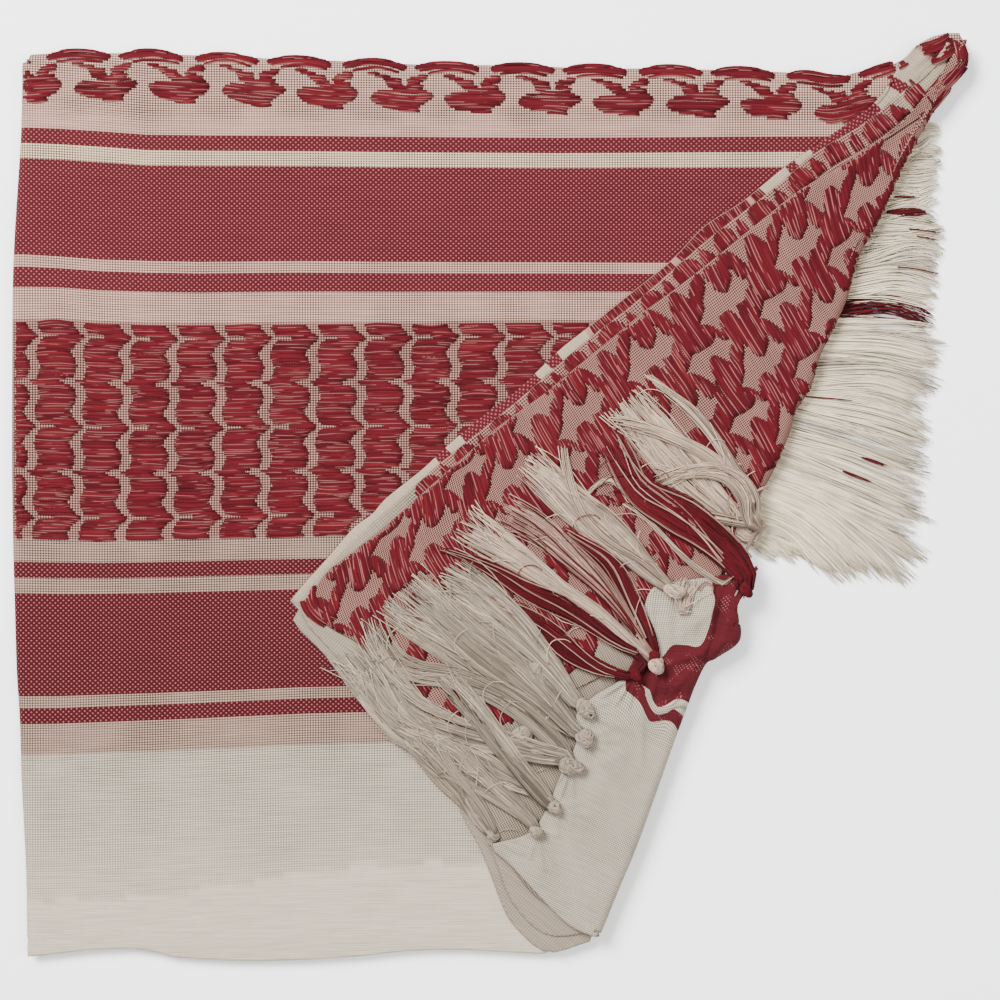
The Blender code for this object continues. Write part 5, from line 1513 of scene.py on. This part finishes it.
class KEFFIYEH_OT_tassels(bpy.types.Operator):
    """Build the knotted tassels along the turned-back end"""

    bl_idname = "keffiyeh.tassels"
    bl_label = "Tassels"

    def execute(self, context):
        settings = context.scene.keffiyeh_fringe
        draw = random.Random(53)
        # Dark edges between the tassels' yarns: painted shadow
        materials = {"white": spun_yarn("undyed_tassel_yarn", TASSEL_TONES, TASSEL_GAP_SHADOW, 0.4),
                     # The row tassels' yarn: a darker copy of the tassel tones, painted shade
                     "row": spun_yarn("undyed_tassel_yarn_in_shade", SHADED_TASSEL_TONES, TASSEL_GAP_SHADOW, 0.4),
                     "pink": spun_yarn("tinged_tassel_yarn", PINK_TONES, "#4a2a26", 0.4),
                     "red": bpy.data.materials["dyed_fringe_yarn"]}
        # The yarns that lie beside a tassel, and at which parts of its width
        besides = {"red": ("pink", (-0.46, 0.47, 0.1)), "pink": ("red", (-0.3, 0.02, 0.28, 0.45))}
        pile = Pile("flap_border_cloth", "flap_second_cloth", "flap_field_cloth", "flap_end_cloth",
                    "border_panel_cloth")
        for row in TASSELS:
            knot, yarn, routes = row["knot"], row["yarn"], []
            for hank in sorted(row["hanks"], key=lambda one: one["up"]):
                routes += hank_yarns(hank, knot, settings, pile, draw)
            leaving = np.array(row["hanks"][0]["route"][1]) - np.array(knot)
            heading = math.atan2(leaving[1], leaving[0])
            for x, y, across in [(*knot, row["across"])] + row["lumps"]:
                routes += knot_yarns((x, y), across, pile.height(x, y) + 1.8, heading, draw)
            yarn_mesh(row["node"] + "_yarns", routes, materials[yarn], row["node"])
            if yarn in besides:
                other, sides = besides[yarn]
                yarn_mesh(row["node"] + "_side_yarns", side_yarns(row, sides, settings, pile, draw),
                          materials[other])
        routes = []
        for thread in END_THREADS:
            line = smooth_line(thread["route"], 11)
            base = np.array([pile.height(x, y) for x, y in line]) + 0.3
            routes += bundle(line, base, thread["across"], 0.4, thread["yarns"], settings, draw)
        yarn_mesh("end_loose_threads", routes, materials["pink"])
        return {"FINISHED"}


# ---------------------------------------------------------------- stage and panel

class KEFFIYEH_OT_stage(bpy.types.Operator):
    """Build the pale floor, the soft light and the camera"""

    bl_idname = "keffiyeh.stage"
    bl_label = "Stage"

    def execute(self, context):
        scene = context.scene
        stage = scene.keffiyeh_stage
        material = bpy.data.materials.new("matt_white_paper")
        material.use_nodes = True
        shader = material.node_tree.nodes["Principled BSDF"]
        shader.inputs["Base Color"].default_value = linear("#ffffff")
        shader.inputs["Roughness"].default_value = 0.95
        shader.inputs["Specular IOR Level"].default_value = 0.1
        reach, drop = 3000, -0.4
        corners = ((-reach, -reach), (reach, -reach), (reach, reach), (-reach, reach))
        mesh_object("floor", [(*corner, drop) for corner in corners], [(0, 1, 2, 3)], material)
        world = bpy.data.worlds.new("soft_studio")
        world.use_nodes = True
        world.node_tree.nodes["Background"].inputs["Color"].default_value = linear("#ffffff")
        world.node_tree.nodes["Background"].inputs["Strength"].default_value = 0.6
        scene.world = world
        for name, place, size, power in (("key", (-0.9, 0.9, 1.6), 0.9, stage.key_power),
                                         ("fill", (1.1, -0.3, 1.7), 1.6, stage.fill_power)):
            light = bpy.data.lights.new(name, "AREA")
            light.size, light.energy = size, power
            lamp = bpy.data.objects.new(name, light)
            lamp.location = place
            lamp.rotation_mode = "QUATERNION"
            lamp.rotation_quaternion = Vector(place).to_track_quat("Z", "Y")
            scene.collection.objects.link(lamp)
        data = bpy.data.cameras.new("camera")
        data.lens = stage.lens
        camera = bpy.data.objects.new("camera", data)
        camera.location = (0.0046, -0.0018, stage.framed * stage.lens / data.sensor_width)
        scene.collection.objects.link(camera)
        scene.camera = camera
        return {"FINISHED"}


class KEFFIYEH_PT_panel(bpy.types.Panel):
    """Sizes, colours and building steps of the headscarf"""

    bl_label = "Keffiyeh"
    bl_idname = "KEFFIYEH_PT_panel"
    bl_space_type = "VIEW_3D"
    bl_region_type = "UI"
    bl_category = "Keffiyeh"

    def draw(self, context):
        for name in GROUPS:
            group = getattr(context.scene, name)
            for key in group.bl_rna.properties.keys():
                if key not in ("rna_type", "name"):
                    self.layout.prop(group, key)
        for operator in OPERATORS:
            self.layout.operator(operator.bl_idname)


GROUPS = {"keffiyeh_cloth": KeffiyehCloth, "keffiyeh_colours": KeffiyehColours,
          "keffiyeh_fringe": KeffiyehFringe, "keffiyeh_stage": KeffiyehStage}
OPERATORS = [KEFFIYEH_OT_hidden_layers, KEFFIYEH_OT_border_panel, KEFFIYEH_OT_flap_layers,
             KEFFIYEH_OT_fringe, KEFFIYEH_OT_tassels, KEFFIYEH_OT_stage]


def register():
    """Register the classes and give the scene its settings."""
    for item in [*GROUPS.values(), *OPERATORS, KEFFIYEH_PT_panel]:
        bpy.utils.register_class(item)
    for name, group in GROUPS.items():
        setattr(bpy.types.Scene, name, bpy.props.PointerProperty(type=group))


def unregister():
    """Take the settings and the classes away again."""
    for name in GROUPS:
        delattr(bpy.types.Scene, name)
    for item in [KEFFIYEH_PT_panel, *reversed(OPERATORS), *GROUPS.values()]:
        bpy.utils.unregister_class(item)


def main():
    """Build every piece and the stage."""
    register()
    bpy.ops.keffiyeh.hidden_layers()
    bpy.ops.keffiyeh.border_panel()
    bpy.ops.keffiyeh.flap_layers()
    bpy.ops.keffiyeh.fringe()
    bpy.ops.keffiyeh.tassels()
    bpy.ops.keffiyeh.stage()
    bpy.context.view_layer.update()


if __name__ == "__main__":
    main()
